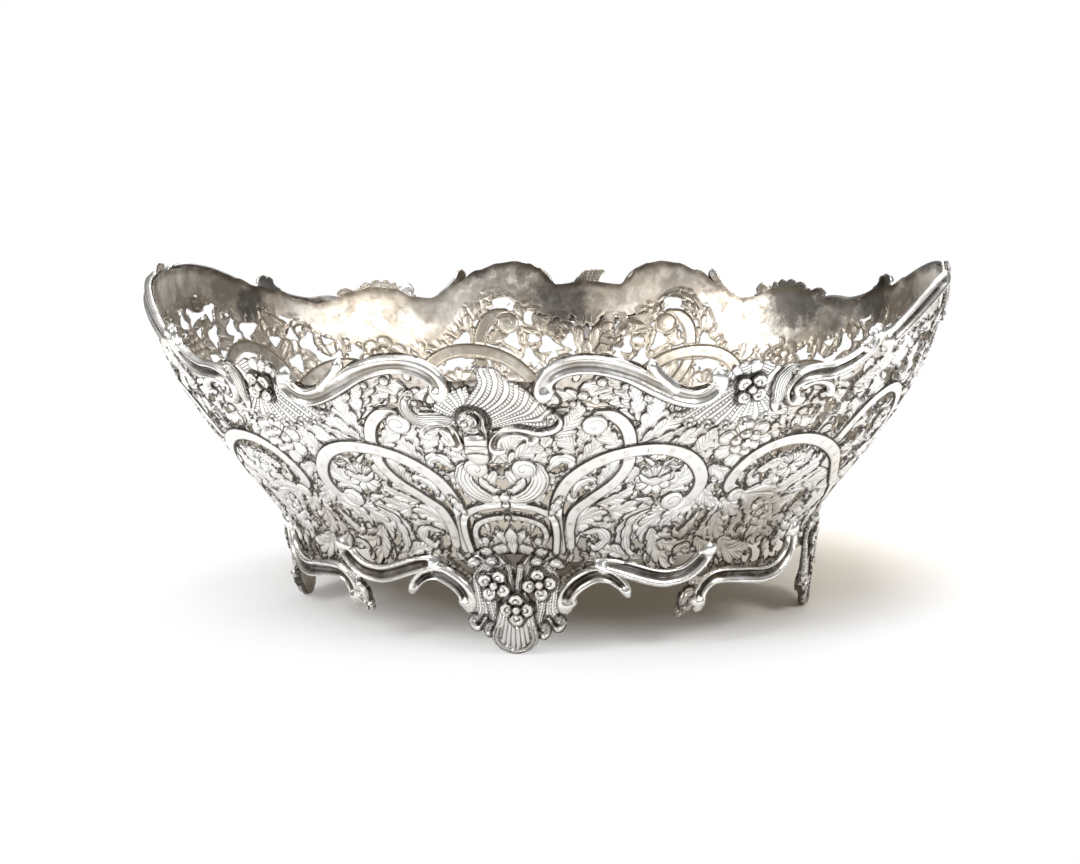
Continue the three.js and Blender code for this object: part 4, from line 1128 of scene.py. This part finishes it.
class Shader:
    """Short names for making and joining the nodes of a material or a world."""

    def __init__(self, owner, places="Object"):
        self.owner = owner
        owner.use_nodes = True
        self.tree = owner.node_tree
        self.tree.nodes.clear()
        self.place = Value(self, self.node("ShaderNodeTexCoord").outputs[places])

    def node(self, kind, **settings):
        """A new node of a kind, with its settings."""
        made = self.tree.nodes.new(kind)
        for key, value in settings.items():
            setattr(made, key, value)
        return made

    def put(self, socket, value):
        """Joins a value to a node's input, or sets the input to a plain number or colour."""
        if isinstance(value, Value):
            self.tree.links.new(value.socket, socket)
        else:
            socket.default_value = value

    def made(self, kind, inputs, output=0, **settings):
        """What a new node gives for these inputs, which are numbered or named as the node's are."""
        node = self.node(kind, **settings)
        for key, value in inputs.items():
            self.put(node.inputs[key], value)
        return Value(self, node.outputs[output])

    def math(self, operation, a, b=0.0, clamp=False):
        """One or two numbers put through a math operation."""
        return self.made("ShaderNodeMath", {0: a, 1: b}, operation=operation, use_clamp=clamp)

    def field(self, name):
        """A number that was painted on the piece's points."""
        return self.made("ShaderNodeAttribute", {}, "Fac", attribute_name=name)

    def noise(self, scale, detail, roughness=0.55, stretch=None):
        """Cloudy noise from 0 to 1, finer as scale grows, and drawn out where stretch is small."""
        place = self.place
        if stretch:
            place = self.made("ShaderNodeMapping", {"Vector": place, "Scale": stretch})
        inputs = {"Vector": place, "Scale": scale, "Detail": detail, "Roughness": roughness}
        return self.made("ShaderNodeTexNoise", inputs, "Fac")

    def level(self):
        """Height above the ground, or in a world the rise of the line of sight."""
        return self.made("ShaderNodeSeparateXYZ", {0: self.place}, "Z")

    def ramp(self, value, low, high, bottom=0.0, top=1.0):
        """Smoothly from bottom to top as value goes from low to high."""
        inputs = {"Value": value, "From Min": low, "From Max": high, "To Min": bottom, "To Max": top}
        return self.made("ShaderNodeMapRange", inputs, interpolation_type="SMOOTHSTEP")

    def mix(self, share, a, b):
        """Colour a at a share of 0, and colour b at 1."""
        a, b = (colour if isinstance(colour, Value) else (*colour, 1.0) for colour in (a, b))
        return self.made("ShaderNodeMix", {"Factor": share, 6: a, 7: b}, 2, data_type="RGBA")

    def patch(self, place, radius, strength):
        """Strength within a ragged ball round a place, given in millimetres, falling to 0 outside it."""
        inputs = {0: self.place, 1: [MM * x for x in place]}
        away = self.made("ShaderNodeVectorMath", inputs, "Value", operation="DISTANCE")
        ragged = self.noise(70, 7, 0.7) * (2.0 * radius * MM) + away
        return self.ramp(ragged, 1.5 * radius * MM, 2.0 * radius * MM, strength, 0.0)

    def finish(self, shader, kind="Material"):
        self.put(self.node(f"ShaderNodeOutput{kind}").inputs[0], shader)
        return self.owner

    def metal(self, colour, roughness, height, depth):
        """A metal, with a bump of that depth in metres from a height of 0 to 1."""
        bump = self.made("ShaderNodeBump", {"Distance": depth, "Height": height})
        inputs = {"Base Color": colour, "Roughness": roughness, "Metallic": 1.0, "Normal": bump}
        return self.finish(self.made("ShaderNodeBsdfPrincipled", inputs))


INSIDE_PATCHES = [  # grey tarnish on the inside of the bowl: place, radius in millimetres, and strength
    ((-13, 134, 114), 19, 0.84), ((-76, 120, 118), 17, 0.5), ((50, 130, 118), 17, 0.5),
    ((4, 130, 96), 16, 0.2), ((101, 106, 121), 24, 0.97), ((120, 94, 117), 18, 0.5),
    ((-168, 26, 124), 11, 0.5), ((-150, 62, 122), 10, 0.75), ((-58, 128, 131), 9, 0.84),
    ((40, -124, 96), 24, 0.84), ((-90, -96, 110), 18, 0.84), ((140, 74, 122), 12, 0.84),
]
LOW_SHADE_PATCH = ((86, -66, 34), 44, 0.66)    # painted shade outside, in brown, right of the front: place, radius, strength
FOOT_SHADE_FILM = 0.38         # how much brown the painted shade lays on the work at foot level
LOW_LINE = -0.05        # change to the distance from an outline there, in millimetres, so lines are broader
LOW_LEVELS = (0.022, 0.080)    # metres above the ground between which the painted shade of the foot level ends


def chased_silver(name, colours, line=0.29, tarnish=1.0, dull=0.0, fine=0.7, veins=0.62, foot_shade=1.0):
    """Worked silver. Dark lines lie where the painted outlines are near and where the vein count is
    whole; tarnish lies on the ground between the shapes, in deep places and in blotches, tarnish and
    painted shade lie beside the outlines, and the worn tops stay bright. Line is how far an outline's
    dark reaches and fine the gap below which veins aren't seen, in millimetres; veins is their
    strength, dull is added to the roughness, and the last argument is the strength of the painted
    shade at foot level, which darkens and browns the work there."""
    m = Shader(bpy.data.materials.new(name))
    edge, vein, gap, bead, deep, ground, through, inside = (m.field(f) for f in PAINTED + ("inside",))
    outside, hidden = 1 - inside, inside * (1 - through)
    # Painted shade at foot level: its full strength near the ground, fading to 0 above.
    low = m.ramp(m.level(), *LOW_LEVELS, foot_shade, 0.0)
    blotch = m.ramp(m.noise(26, 5, 0.62), 0.42, 0.68)
    speck = m.ramp(m.noise(420, 3, 0.6), 0.42, 0.70)

    # The chased lines: outlines, veins across the shapes, and rungs between every second pair of veins.
    outline = m.ramp(m.noise(700, 2) * 0.20 + (edge - 0.10) + low * LOW_LINE, 0.16, line, 1.0, 0.0)
    across = m.math("FRACT", vein)
    away = (0.5 - m.math("ABSOLUTE", across - 0.5)) * gap
    veined = m.ramp(gap, fine, 1.5 * fine)
    vein_line = m.ramp(away, 0.05, 0.26, 1.0, 0.0) * veined
    worn = m.ramp(m.noise(120, 3), 0.36, 0.60, veins * veins, 1.0)
    along = m.math("ABSOLUTE", m.math("FRACT", bead) - 0.5)
    laddered = m.math("LESS_THAN", m.math("FRACT", vein * 0.5), 0.5) * m.math("GREATER_THAN", bead, 0.9)
    rung = m.ramp(along, 0.30, 0.46) * laddered * veined
    cut = m.math("MAXIMUM", outline, m.math("MAXIMUM", vein_line * worn, rung) * veins)
    cut = cut * (inside * -0.6 + (hidden * -0.4 + 1.0))

    # The outside: bright tops, tarnish on the ground, tarnish and painted shade beside the outlines, and
    # painted shade at foot level.
    # Painted shade: the silver turns brown beside every outline, as tarnish and as shade; the tarnish
    # argument scales it together with the ground's tarnish.
    edge_tarnish_and_shade = m.ramp(edge, 0.2, 1.4, 1.0, 0.0) * (blotch * 0.30 + 0.12)
    stain_and_edge_shade = m.math("MULTIPLY", m.math("MAXIMUM", edge_tarnish_and_shade, ground * (speck * 0.35 + 0.55)), tarnish, clamp=True)
    bright = m.mix(blotch, colours.silver, colours.silver_warm)
    # Painted shade: the work browns at foot level and in a patch right of the front.
    bright = m.mix(low * (blotch * (0.5 * FOOT_SHADE_FILM) + 0.5 * FOOT_SHADE_FILM), bright, colours.brown_tarnish_and_shade)
    bright = m.mix(m.patch(*LOW_SHADE_PATCH), bright, colours.brown_tarnish_and_shade)
    colour = m.mix(stain_and_edge_shade * outside, bright, colours.brown_tarnish_and_shade)
    # Painted shade: the ground and the outlines' edges turn deep brown at foot level.
    foot_recess_shade = m.math("MAXIMUM", ground, m.ramp(edge, 0.2, 0.9, 0.7, 0.0)) * low
    colour = m.mix(foot_recess_shade * m.ramp(m.noise(75, 4), 0.38, 0.62, 0.1, 0.8), colour, colours.deep_tarnish_and_shade)
    # Tarnish in the deep places, with the painted shade that was laid on the deep field.
    colour = m.mix(m.ramp(deep, 0.3, 1.0, 0.0, 0.92), colour, colours.deep_tarnish_and_shade)

    # The inside: an uneven film, painted shade in brown beside the openings, and patches of older tarnish.
    film = m.ramp(m.noise(34, 8, 0.72, stretch=(1, 1, 0.8)), 0.42, 0.58)
    inside_stain_and_shade = m.mix(film, colours.silver_inside, colours.inside_brown_and_shade)
    # Painted shade: the inside turns brown beside the openings.
    inside_stain_and_shade = m.mix(through * m.ramp(edge, 0.1, 1.6, 0.8, 0.0), inside_stain_and_shade, colours.inside_brown_and_shade)
    for patch in INSIDE_PATCHES:
        inside_stain_and_shade = m.mix(m.patch(*patch), inside_stain_and_shade, colours.tarnish_dark)
    colour = m.mix(inside * 0.92, colour, inside_stain_and_shade)
    at_rim = m.ramp(deep, 0.05, 0.8, 0.0, 0.85) * m.ramp(m.noise(90, 4, 0.6), 0.3, 0.6, 0.35, 1.0)
    colour = m.mix(inside * at_rim, colour, colours.deep_tarnish_and_shade)
    colour = m.mix(cut * 0.90, colour, colours.tarnish_dark)

    rough = speck * 0.08 + (stain_and_edge_shade * 0.20 + (inside * 0.04 + (0.28 + dull)))
    rib = m.math("SQRT", across * (1 - across)) * veined
    height = rib * (inside * -0.5 + 0.5) + (m.noise(160, 2, 0.5) * 0.25 + (1 - cut))
    return m.metal(colour, rough, height, CHASED_BUMP)


def rail_silver(name, colours, channel, least):
    """The scrolls' silver: bright rounded edges worn smooth, and channels that hold tarnish."""
    m = Shader(bpy.data.materials.new(name))
    blotch = m.ramp(m.noise(60, 4, 0.6), 0.40, 0.62)
    held = m.ramp(m.field("deep"), 0.15, 0.9) * m.ramp(m.noise(60, 4), 0.34, 0.60, least, 1.0)
    colour = m.mix(held, m.mix(blotch, colours.silver, colours.silver_warm), channel)
    colour = m.mix(m.ramp(m.noise(110, 6, 0.7), 0.50, 0.66, 0.0, 0.45), colour, colours.brown_tarnish_and_shade)
    dent = m.noise(240, 2, 0.5)
    return m.metal(colour, held * 0.16 + (dent * 0.14 + 0.20), dent, RAIL_BUMP)


PLATE_GREY = 0.5        # how much of the grey tarnish lies all over the floor plate
PLATE_DULL = 0.36       # its roughness where it is bright


def plain_silver(name, colours, underside):
    """Plain plate: blotched with tarnish and greyed by use above its underside, a height in metres, with
    fine scratches from cleaning along the basket."""
    m = Shader(bpy.data.materials.new(name))
    upper = m.ramp(m.level(), underside + 0.0001, underside + 0.0004)
    blotch = m.ramp(m.noise(22, 6, 0.65), 0.38, 0.66)
    scratch = m.noise(300, 2, 0.6, stretch=(0.05, 1, 1))
    grey = m.ramp(m.noise(9, 4), 0.35, 0.72, PLATE_GREY, PLATE_GREY + 0.25)
    colour = m.mix(blotch, colours.silver_inside, colours.silver_warm)
    colour = m.mix(grey * upper, colour, colours.tarnish_grey)
    rough = scratch * 0.18 + (blotch * -0.08 + PLATE_DULL)
    return m.metal(colour, rough, scratch * 0.3 + m.noise(60, 2), PLATE_BUMP)


# The oval on the floor, in metres: within it a darker warm tone is painted on the paper as shadow, and
# beyond it the shadow fades to white for the camera.
SHADOW_MIDDLE = (0.03, 0.06, 0)
SHADOW_HALF = (0.115, 0.089, 1)
PAPER_FAR = 0.99        # the paper's darker grain, as a share of its colour


def seen_by_camera(m, lit, seen, share=1.0):
    """One shader for the camera's rays, straight or through glass, at a share, and another for the rest."""
    rays = [m.made("ShaderNodeLightPath", {}, kind) for kind in ("Is Camera Ray", "Is Transmission Ray")]
    return m.made("ShaderNodeMixShader", {0: m.math("MAXIMUM", *rays) * share, 1: lit, 2: seen})


def studio_paper(name, colours):
    """White paper that keeps the basket's shadow, with a darker warm tone painted under the bowl as more
    shadow: bright where the camera sees it lit.
    """
    m = Shader(bpy.data.materials.new(name))
    inputs = {"Vector": m.place, "Location": SHADOW_MIDDLE, "Scale": SHADOW_HALF}
    oval = m.made("ShaderNodeMapping", inputs, vector_type="TEXTURE")
    away = m.made("ShaderNodeVectorMath", {0: oval}, "Value", operation="LENGTH")
    darker = [PAPER_FAR * k for k in colours.ground]
    lit = m.mix(m.ramp(m.noise(3.0, 2), 0.3, 0.7), colours.ground, darker)
    # Painted shadow: within the oval the paper turns to a darker warm tone.
    near = m.mix(m.ramp(away, 0.8, 1.6, 1.0, 0.0), lit, colours.floor_shadow_tint)
    paper = m.made("ShaderNodeBsdfDiffuse", {"Color": near})
    white = m.made("ShaderNodeEmission", {"Strength": 1.0})
    return m.finish(seen_by_camera(m, paper, white, m.ramp(away, 0.9, 2.3)))


def studio_air(world):
    """A white surround for the camera, and a soft grey gradient from the sides up for the rest."""
    m = Shader(world, "Generated")
    grey = m.ramp(m.level(), 0.25, 0.85, 0.20, 0.62)
    soft, white = (m.made("ShaderNodeBackground", {"Color": colour}) for colour in (grey, (1, 1, 1, 1)))
    return m.finish(seen_by_camera(m, soft, white), "World")


def length(name, description, default):
    """A size that the user can change, in metres."""
    return bpy.props.FloatProperty(
        name=name, description=description, default=default, min=0.0, subtype="DISTANCE", unit="LENGTH",
        precision=5,
    )


def colour(name, description, default):
    """A colour that the user can change."""
    return bpy.props.FloatVectorProperty(
        name=name, description=description, default=default, size=3, min=0.0, max=1.0, subtype="COLOR"
    )


class BasketSizes(bpy.types.PropertyGroup):
    """Sizes of the basket's parts, in metres."""

    sheet_grid: length("Sheet grid", "Distance between points of the sheet's mesh", 0.00048)
    sheet_thickness: length("Sheet thickness", "Thickness of the pierced sheet", 0.0009)
    casting_grid: length("Casting grid", "Distance between points of a cast shell's mesh", 0.0004)
    chasing_height: length("Chasing height", "Relief of the sheet's highest work", 0.0013)
    rim_width: length("Rim scroll width", "Width of the scrolls along the rim", 0.0078)
    foot_width: length("Foot scroll width", "Width of the scrolls along the foot border", 0.0080)
    small_width: length("Small scroll width", "Width of the small scrolls under the rim shells", 0.0052)
    scroll_height: length("Scroll height", "How far a scroll stands out from the sheet", 0.0036)
    shell_lift: length("Shell lift", "Gap between the sheet and the back of a cast shell", 0.0004)
    flower_radius: length("Rim flower radius", "Radius of the flowers on the rim shells", 0.0066)
    rosette_radius: length("Foot rosette radius", "Radius of the flowers on the feet", 0.0067)


class BasketColours(bpy.types.PropertyGroup):
    """Colours of the silver, its tarnish and the studio."""

    silver: colour("Silver", "Clean silver", (0.93, 0.92, 0.90))
    silver_warm: colour("Warm silver", "Silver with a thin warm film", (0.88, 0.85, 0.80))
    silver_inside: colour("Inside silver", "The uncleaned inside of the bowl", (0.78, 0.73, 0.65))
    # Also painted as shade beside the openings inside.
    inside_brown_and_shade: colour("Inside brown", "Brown film on the inside of the bowl", (0.42, 0.36, 0.285))
    # Also painted as shade beside the outlines, at foot level and in a patch right of the front.
    brown_tarnish_and_shade: colour("Brown tarnish", "Tarnish round the worked shapes", (0.44, 0.38, 0.31))
    tarnish_grey: colour("Grey tarnish", "Older patches on the inside", (0.13, 0.125, 0.11))
    # Also the painted shade on the rim shell's hollows, in the petals' crescents and at foot level.
    deep_tarnish_and_shade: colour("Deep tarnish", "Tarnish in the channels of the scrolls", (0.13, 0.106, 0.080))
    tarnish_dark: colour("Dark tarnish", "Tarnish in the chased lines", (0.058, 0.047, 0.037))
    ground: colour("Floor", "The studio floor", (0.90, 0.90, 0.90))
    # Painted shadow: the paper's darker warm tone under the bowl.
    floor_shadow_tint: colour("Floor under the bowl", "The floor's warm tone in the shadow", (0.78, 0.73, 0.65))


CHASED = {  # the chased silvers, and what differs in each from the sheet's
    "sheet_silver": {},
    "cast_silver": {"line": 0.36, "tarnish": 0.9, "fine": 0.45, "veins": 0.80, "foot_shade": 0.3},
    "foot_silver": {"line": 0.25, "dull": 0.04, "fine": 0.45, "veins": 0.72, "foot_shade": 0.2},
}
RAILS = {  # the scrolls' silvers: what their channels hold, and the least of it
    "polished_silver": ("deep_tarnish_and_shade", 0.45), "channelled_silver": ("tarnish_dark", 0.72),
}


def silver(name):
    """A silver by its name, made when it is first asked for."""
    colours = bpy.context.scene.basket_colours
    made = bpy.data.materials.get(name)
    if made is None and name in CHASED:
        made = chased_silver(name, colours, **CHASED[name])
    elif made is None:
        channel, least = RAILS[name]
        made = rail_silver(name, colours, getattr(colours, channel), least)
    return made


def cast_plate(name, low, high, paint, slot, start, side=1, rise=0.0, scale=1.0, node=None):
    """One cast plate: a chart from low to high is painted, and bent onto the wall to one side of a
    place on it, raised and scaled, as a single closed solid. It stands for a CAD node."""
    sizes = bpy.context.scene.basket_sizes
    step, lift = sizes.casting_grid / MM, sizes.shell_lift / MM
    c = Chart(np.arange(low[0], high[0], step), np.arange(low[1], high[1], step))
    paint(c)
    points, faces, fields, normals = relief_solids(
        c, lambda h: lift + h, lambda h: lift + 0 * h,
        lambda s, v, out: on_wall(start + side * s / scale, v, out + rise),
    )[0]
    finish = silver("foot_silver" if slot == "silver_foot" else "cast_silver")
    made = finish_piece(make_mesh(name, points, faces, fields, normals, finish), node or name)
    if side < 0:
        made.data.flip_normals()


RIM_FILL = 0.22         # the rim's channels are this share shallower than the foot's
THIN = 0.6              # branches this share of a scroll's width or less are round, without a channel
TAPER, THIN_TAPER = 0.85, 0.6    # share of its width that a scroll has near its ends


def scroll_piece(name, routes, width, height, finish, start, side, fill=0.0):
    """One scroll casting along one or more routes, each with its turnover and its share of the width."""
    solids = []
    for route, turnover, share, *slim in routes:
        thin = share <= THIN
        wide, tall = share * width / MM, height * (0.6 + 0.4 * share) / MM
        solids.append(scroll_solid(from_start(route, start, side), wide, tall, turnover, side < 0,
                                   THIN_TAPER if thin else TAPER, float(thin), fill, *slim))
    points, faces, fields = joined(*solids)
    finish_piece(make_mesh(name, points, faces, fields, None, silver(finish)), name)


class BASKET_OT_sheet(bpy.types.Operator):
    """Works and pierces the sheet, and cuts the round into eight pieces"""

    bl_idname = "basket.sheet"
    bl_label = "Pierced sheet"

    def execute(self, context):
        sizes = context.scene.basket_sizes
        near, far = (sheet_quarter(sizes.sheet_grid / MM, opened) for opened in (FRONT_OPENED, 0.0))
        n = len(near.s) - 1
        k = np.arange(4 * n)
        fold = np.where(k % (2 * n) <= n, k % (2 * n), 2 * n - k % (2 * n))
        ring = Chart(k * near.s[1], near.v)
        for name in BLANK:
            front, back = (getattr(quarter, name)[:, fold] for quarter in (near, far))
            setattr(ring, name, np.where((k > n) & (k < 3 * n), back, front))
        relief, thick = sizes.chasing_height / MM, sizes.sheet_thickness / MM
        solids = relief_solids(ring, lambda h: relief * h, lambda h: BACK_RELIEF * relief * h - thick,
                               parts=SHEET_PARTS)
        for number, (points, faces, fields, normals) in enumerate(solids, 1):
            made = make_mesh(f"sheet_{number}", points, faces, fields, normals, silver("sheet_silver"))
            finish_piece(made, "pierced_wall")
        return {"FINISHED"}


class BASKET_OT_floor_plate(bpy.types.Operator):
    """Gives the floor plate its tarnished finish"""

    bl_idname = "basket.floor_plate"
    bl_label = "Floor plate"

    def execute(self, context):
        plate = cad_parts["base_plate"]
        plate.data.materials.clear()
        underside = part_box("base_plate")[0].z
        plate.data.materials.append(plain_silver("floor_silver", context.scene.basket_colours, underside))
        return {"FINISHED"}


TURNED, UNTURNED = -1, 2    # turnovers of scrolls whose thick edge stays on the right, and on the left
RIM_CASTINGS = [  # name, routes with turnover and share of the width, width on the rim's, silver, fill
    ("rim_scroll", [(RIM_SCROLL, 0.56, 1), (RIM_BRANCH, UNTURNED, 0.6)], 1.0, "polished_silver", RIM_FILL),
    ("rim_end_scroll", [(END_SCROLL, 0.3, 1), (CARTOUCHE_SCROLL, UNTURNED, 0.6), (END_TIP, UNTURNED, 0.7)],
     0.85, "channelled_silver", 0.0),
    ("rim_crest_scroll", [(CREST_SCROLL, TURNED, 1)], 0.9, "channelled_silver", 0.0),
]
FOOT_CASTINGS = [
    ("foot_scroll_inner", [(FOOT_SCROLL_INNER, TURNED, 1), (FOOT_ARM, UNTURNED, 1, 0.42)]),
    ("foot_scroll_outer", [(FOOT_SCROLL_OUTER, 0.42, 0.95)]),
]
BUD_RISE = 0.8          # how far the bud at the end of an outer foot scroll lies off the wall
SMALL_SHARE = 0.8       # share of the other scrolls' height that the small ones have


class BASKET_OT_rim_scrolls(bpy.types.Operator):
    """Casts the scrolls along the rim"""

    bl_idname = "basket.rim_scrolls"
    bl_label = "Rim scrolls"

    def execute(self, context):
        sizes = context.scene.basket_sizes
        for quarter, start, side in QUARTERS:
            for name, routes, share, finish, fill in RIM_CASTINGS:
                scroll_piece(f"{name}_{quarter}", routes, share * sizes.rim_width, sizes.scroll_height,
                             finish, start, side, fill)
        return {"FINISHED"}


class BASKET_OT_foot_scrolls(bpy.types.Operator):
    """Casts the scrolls along the foot border"""

    bl_idname = "basket.foot_scrolls"
    bl_label = "Foot scrolls"

    def execute(self, context):
        sizes = context.scene.basket_sizes
        for quarter, start, side in QUARTERS:
            for name, routes in FOOT_CASTINGS:
                scroll_piece(f"{name}_{quarter}", routes, sizes.foot_width, sizes.scroll_height,
                             "channelled_silver", start, side)
            cast_plate(f"foot_bud_{quarter}", (82, -28), (106, -7), paint_bud, "silver_foot", start, side,
                       BUD_RISE, node=f"foot_scroll_outer_{quarter}")
        return {"FINISHED"}


class BASKET_OT_rim_shells(bpy.types.Operator):
    """Casts the asymmetric shells at the middle of the front and the back, and what hangs from them"""

    bl_idname = "basket.rim_shells"
    bl_label = "Rim shells"

    def execute(self, context):
        sizes = context.scene.basket_sizes
        for name, start in HALVES:
            cast_plate(f"rim_shell_{name}", (-37, 70), (28, 110), paint_rim_shell, "silver_casting", start)
            for side, route in (("left", SHELL_SCROLL_LEFT), ("right", SHELL_SCROLL_RIGHT)):
                scroll_piece(f"shell_scroll_{side}_{name}", [(route, UNTURNED, 1)], sizes.small_width,
                             SMALL_SHARE * sizes.scroll_height, "polished_silver",
                             start, 1)
            cast_plate(f"shell_horn_{name}", (-16, 55), (2, 87), paint_horn, "silver_casting", start)
        return {"FINISHED"}


CARTOUCHE_FLOWER_HEIGHT, CARTOUCHE_FLOWER_RISE = 1.9, 1.6    # relief, and how far its back is off the wall
ROSETTE_HEIGHT, ROSETTE_RISE = 2.1, 2.0
ROSETTE_WINDOW = 8.0    # half width of a rosette's chart


class BASKET_OT_cartouches(bpy.types.Operator):
    """Casts the flower shells of the rim, and the flowers on them"""

    bl_idname = "basket.cartouches"
    bl_label = "Flower shells"

    def execute(self, context):
        r = context.scene.basket_sizes.flower_radius / MM
        for quarter, start, side in QUARTERS:
            cast_plate(f"rim_cartouche_{quarter}", (60, 69), (113, 106), paint_cartouche, "silver_casting",
                       start, side)
            cast_plate(f"cartouche_flower_{quarter}", (82, 80), (102, 100),
                       lambda c: petal_boss(c, CARTOUCHE_FLOWER, r, CARTOUCHE_FLOWER_HEIGHT, CARTOUCHE_TURN),
                       "silver_casting", start, side, CARTOUCHE_FLOWER_RISE)
        return {"FINISHED"}


class BASKET_OT_end_shells(bpy.types.Operator):
    """Casts the small shells on the raised ends"""

    bl_idname = "basket.end_shells"
    bl_label = "End shells"

    def execute(self, context):
        for name, start in ENDS:
            cast_plate(f"rim_end_shell_{name}", (-11, 96), (11, 127), paint_end_shell, "silver_casting",
                       start)
        return {"FINISHED"}


class BASKET_OT_feet(bpy.types.Operator):
    """Casts the four shell feet and their rosettes"""

    bl_idname = "basket.feet"
    bl_label = "Shell feet"

    def execute(self, context):
        r = context.scene.basket_sizes.rosette_radius / MM
        for foot, start in FEET:
            cast_plate(f"foot_shell_{foot}", (-26, -42), (26, 5), paint_foot_shell, "silver_foot", start,
                       scale=FOOT_SCALE)
            for side, centre in FOOT_ROSETTE_PLACES.items():
                turned = FOOT_ROSETTE_TURNS[side]
                low, high = (np.array(centre) + reach for reach in (-ROSETTE_WINDOW, ROSETTE_WINDOW))
                cast_plate(f"foot_rosette_{side}_{foot}", low, high,
                           lambda c: petal_boss(c, centre, r, ROSETTE_HEIGHT, turned), "silver_foot", start,
                           rise=ROSETTE_RISE, scale=FOOT_SCALE)
        return {"FINISHED"}


# The photograph's viewpoint, in degrees and metres.
VIEW_TURN, VIEW_RISE, VIEW_ROLL = 9.22, 11.13, -1.36
VIEW_DISTANCE = 1.12025
VIEW_TARGET = (-0.00337, 0.0, 0.07477)
VIEW_END = 20           # metres from the camera up to which things are seen
PHOTO_WIDTH, FOCAL_LENGTH = 1080, 2568.34    # both in the photograph's pixels
FILM = 36               # width of the camera's film in millimetres
LENS = FOCAL_LENGTH / PHOTO_WIDTH * FILM
FLOOR_HALF = 4.0        # half the width of the studio's floor
LAMPS = [  # name, place and size in metres, and power in watts
    ("key_lamp", (-1.0, -0.84, 1.02), 0.55, 12), ("fill_lamp", (1.1, -0.59, 1.09), 0.5, 9),
    ("top_lamp", (0.1, 0.0, 1.8), 1.0, 20), ("back_lamp", (0.3, 1.5, 0.9), 1.0, 6),
]
LAMPS_AIM = (0, 0, 0.06)


def looking(place, target):
    """The matrix of a lamp or camera at place that looks at target, with its top up."""
    back = np.array(place, float) - np.array(target, float)
    back /= np.linalg.norm(back)
    right = np.cross((0, 0, 1), back)
    right /= np.linalg.norm(right)
    top = np.cross(back, right)
    m = np.eye(4)
    m[:3, 0], m[:3, 1], m[:3, 2], m[:3, 3] = right, top, back, place
    return Matrix(m.tolist())


class BASKET_OT_studio(bpy.types.Operator):
    """Sets the floor, the soft lamps and the camera"""

    bl_idname = "basket.studio"
    bl_label = "Studio"

    def execute(self, context):
        scene = context.scene
        mesh = bpy.data.meshes.new("studio_floor")
        corners = [(x * FLOOR_HALF, y * FLOOR_HALF, 0) for x, y in ((-1, -1), (1, -1), (1, 1), (-1, 1))]
        mesh.from_pydata(corners, [], [(0, 1, 2, 3)])
        mesh.materials.append(studio_paper("studio_paper", scene.basket_colours))
        new_object("studio_floor", mesh)
        for name, place, size, power in LAMPS:
            light = bpy.data.lights.new(name, "AREA")
            light.size, light.energy = size, power
            new_object(name, light).matrix_world = looking(place, LAMPS_AIM)
        scene.world = studio_air(bpy.data.worlds.new("studio_air"))
        camera = bpy.data.cameras.new("camera")
        camera.lens, camera.sensor_width = LENS, FILM
        camera.clip_end = VIEW_END
        turn, rise = np.radians(VIEW_TURN), np.radians(VIEW_RISE)
        back = np.array([np.sin(turn) * np.cos(rise), -np.cos(turn) * np.cos(rise), np.sin(rise)])
        place = np.array(VIEW_TARGET) + back * VIEW_DISTANCE
        scene.camera = new_object("camera", camera)
        roll = Matrix.Rotation(np.radians(VIEW_ROLL), 4, "Z")
        scene.camera.matrix_world = looking(place, VIEW_TARGET) @ roll
        scene.view_settings.view_transform = "Standard"
        return {"FINISHED"}


STEPS = [
    BASKET_OT_studio, BASKET_OT_sheet, BASKET_OT_floor_plate, BASKET_OT_rim_scrolls, BASKET_OT_foot_scrolls,
    BASKET_OT_rim_shells, BASKET_OT_cartouches, BASKET_OT_end_shells, BASKET_OT_feet,
]


class BASKET_PT_panel(bpy.types.Panel):
    """The basket's steps, sizes and colours"""

    bl_label = "Silver basket"
    bl_idname = "BASKET_PT_panel"
    bl_space_type = "VIEW_3D"
    bl_region_type = "UI"
    bl_category = "Basket"

    def draw(self, context):
        for step in STEPS:
            self.layout.operator(step.bl_idname)
        for group in (context.scene.basket_sizes, context.scene.basket_colours):
            column = self.layout.column()
            for name in group.__annotations__:
                column.prop(group, name)


CLASSES = [BasketSizes, BasketColours, *STEPS, BASKET_PT_panel]


def register():
    for each in CLASSES:
        bpy.utils.register_class(each)
    bpy.types.Scene.basket_sizes = bpy.props.PointerProperty(type=BasketSizes)
    bpy.types.Scene.basket_colours = bpy.props.PointerProperty(type=BasketColours)


def unregister():
    del bpy.types.Scene.basket_colours
    del bpy.types.Scene.basket_sizes
    for each in reversed(CLASSES):
        bpy.utils.unregister_class(each)


def main():
    register()
    for step in STEPS:
        group, name = step.bl_idname.split(".")
        getattr(getattr(bpy.ops, group), name)()


if __name__ == "__main__":
    main()
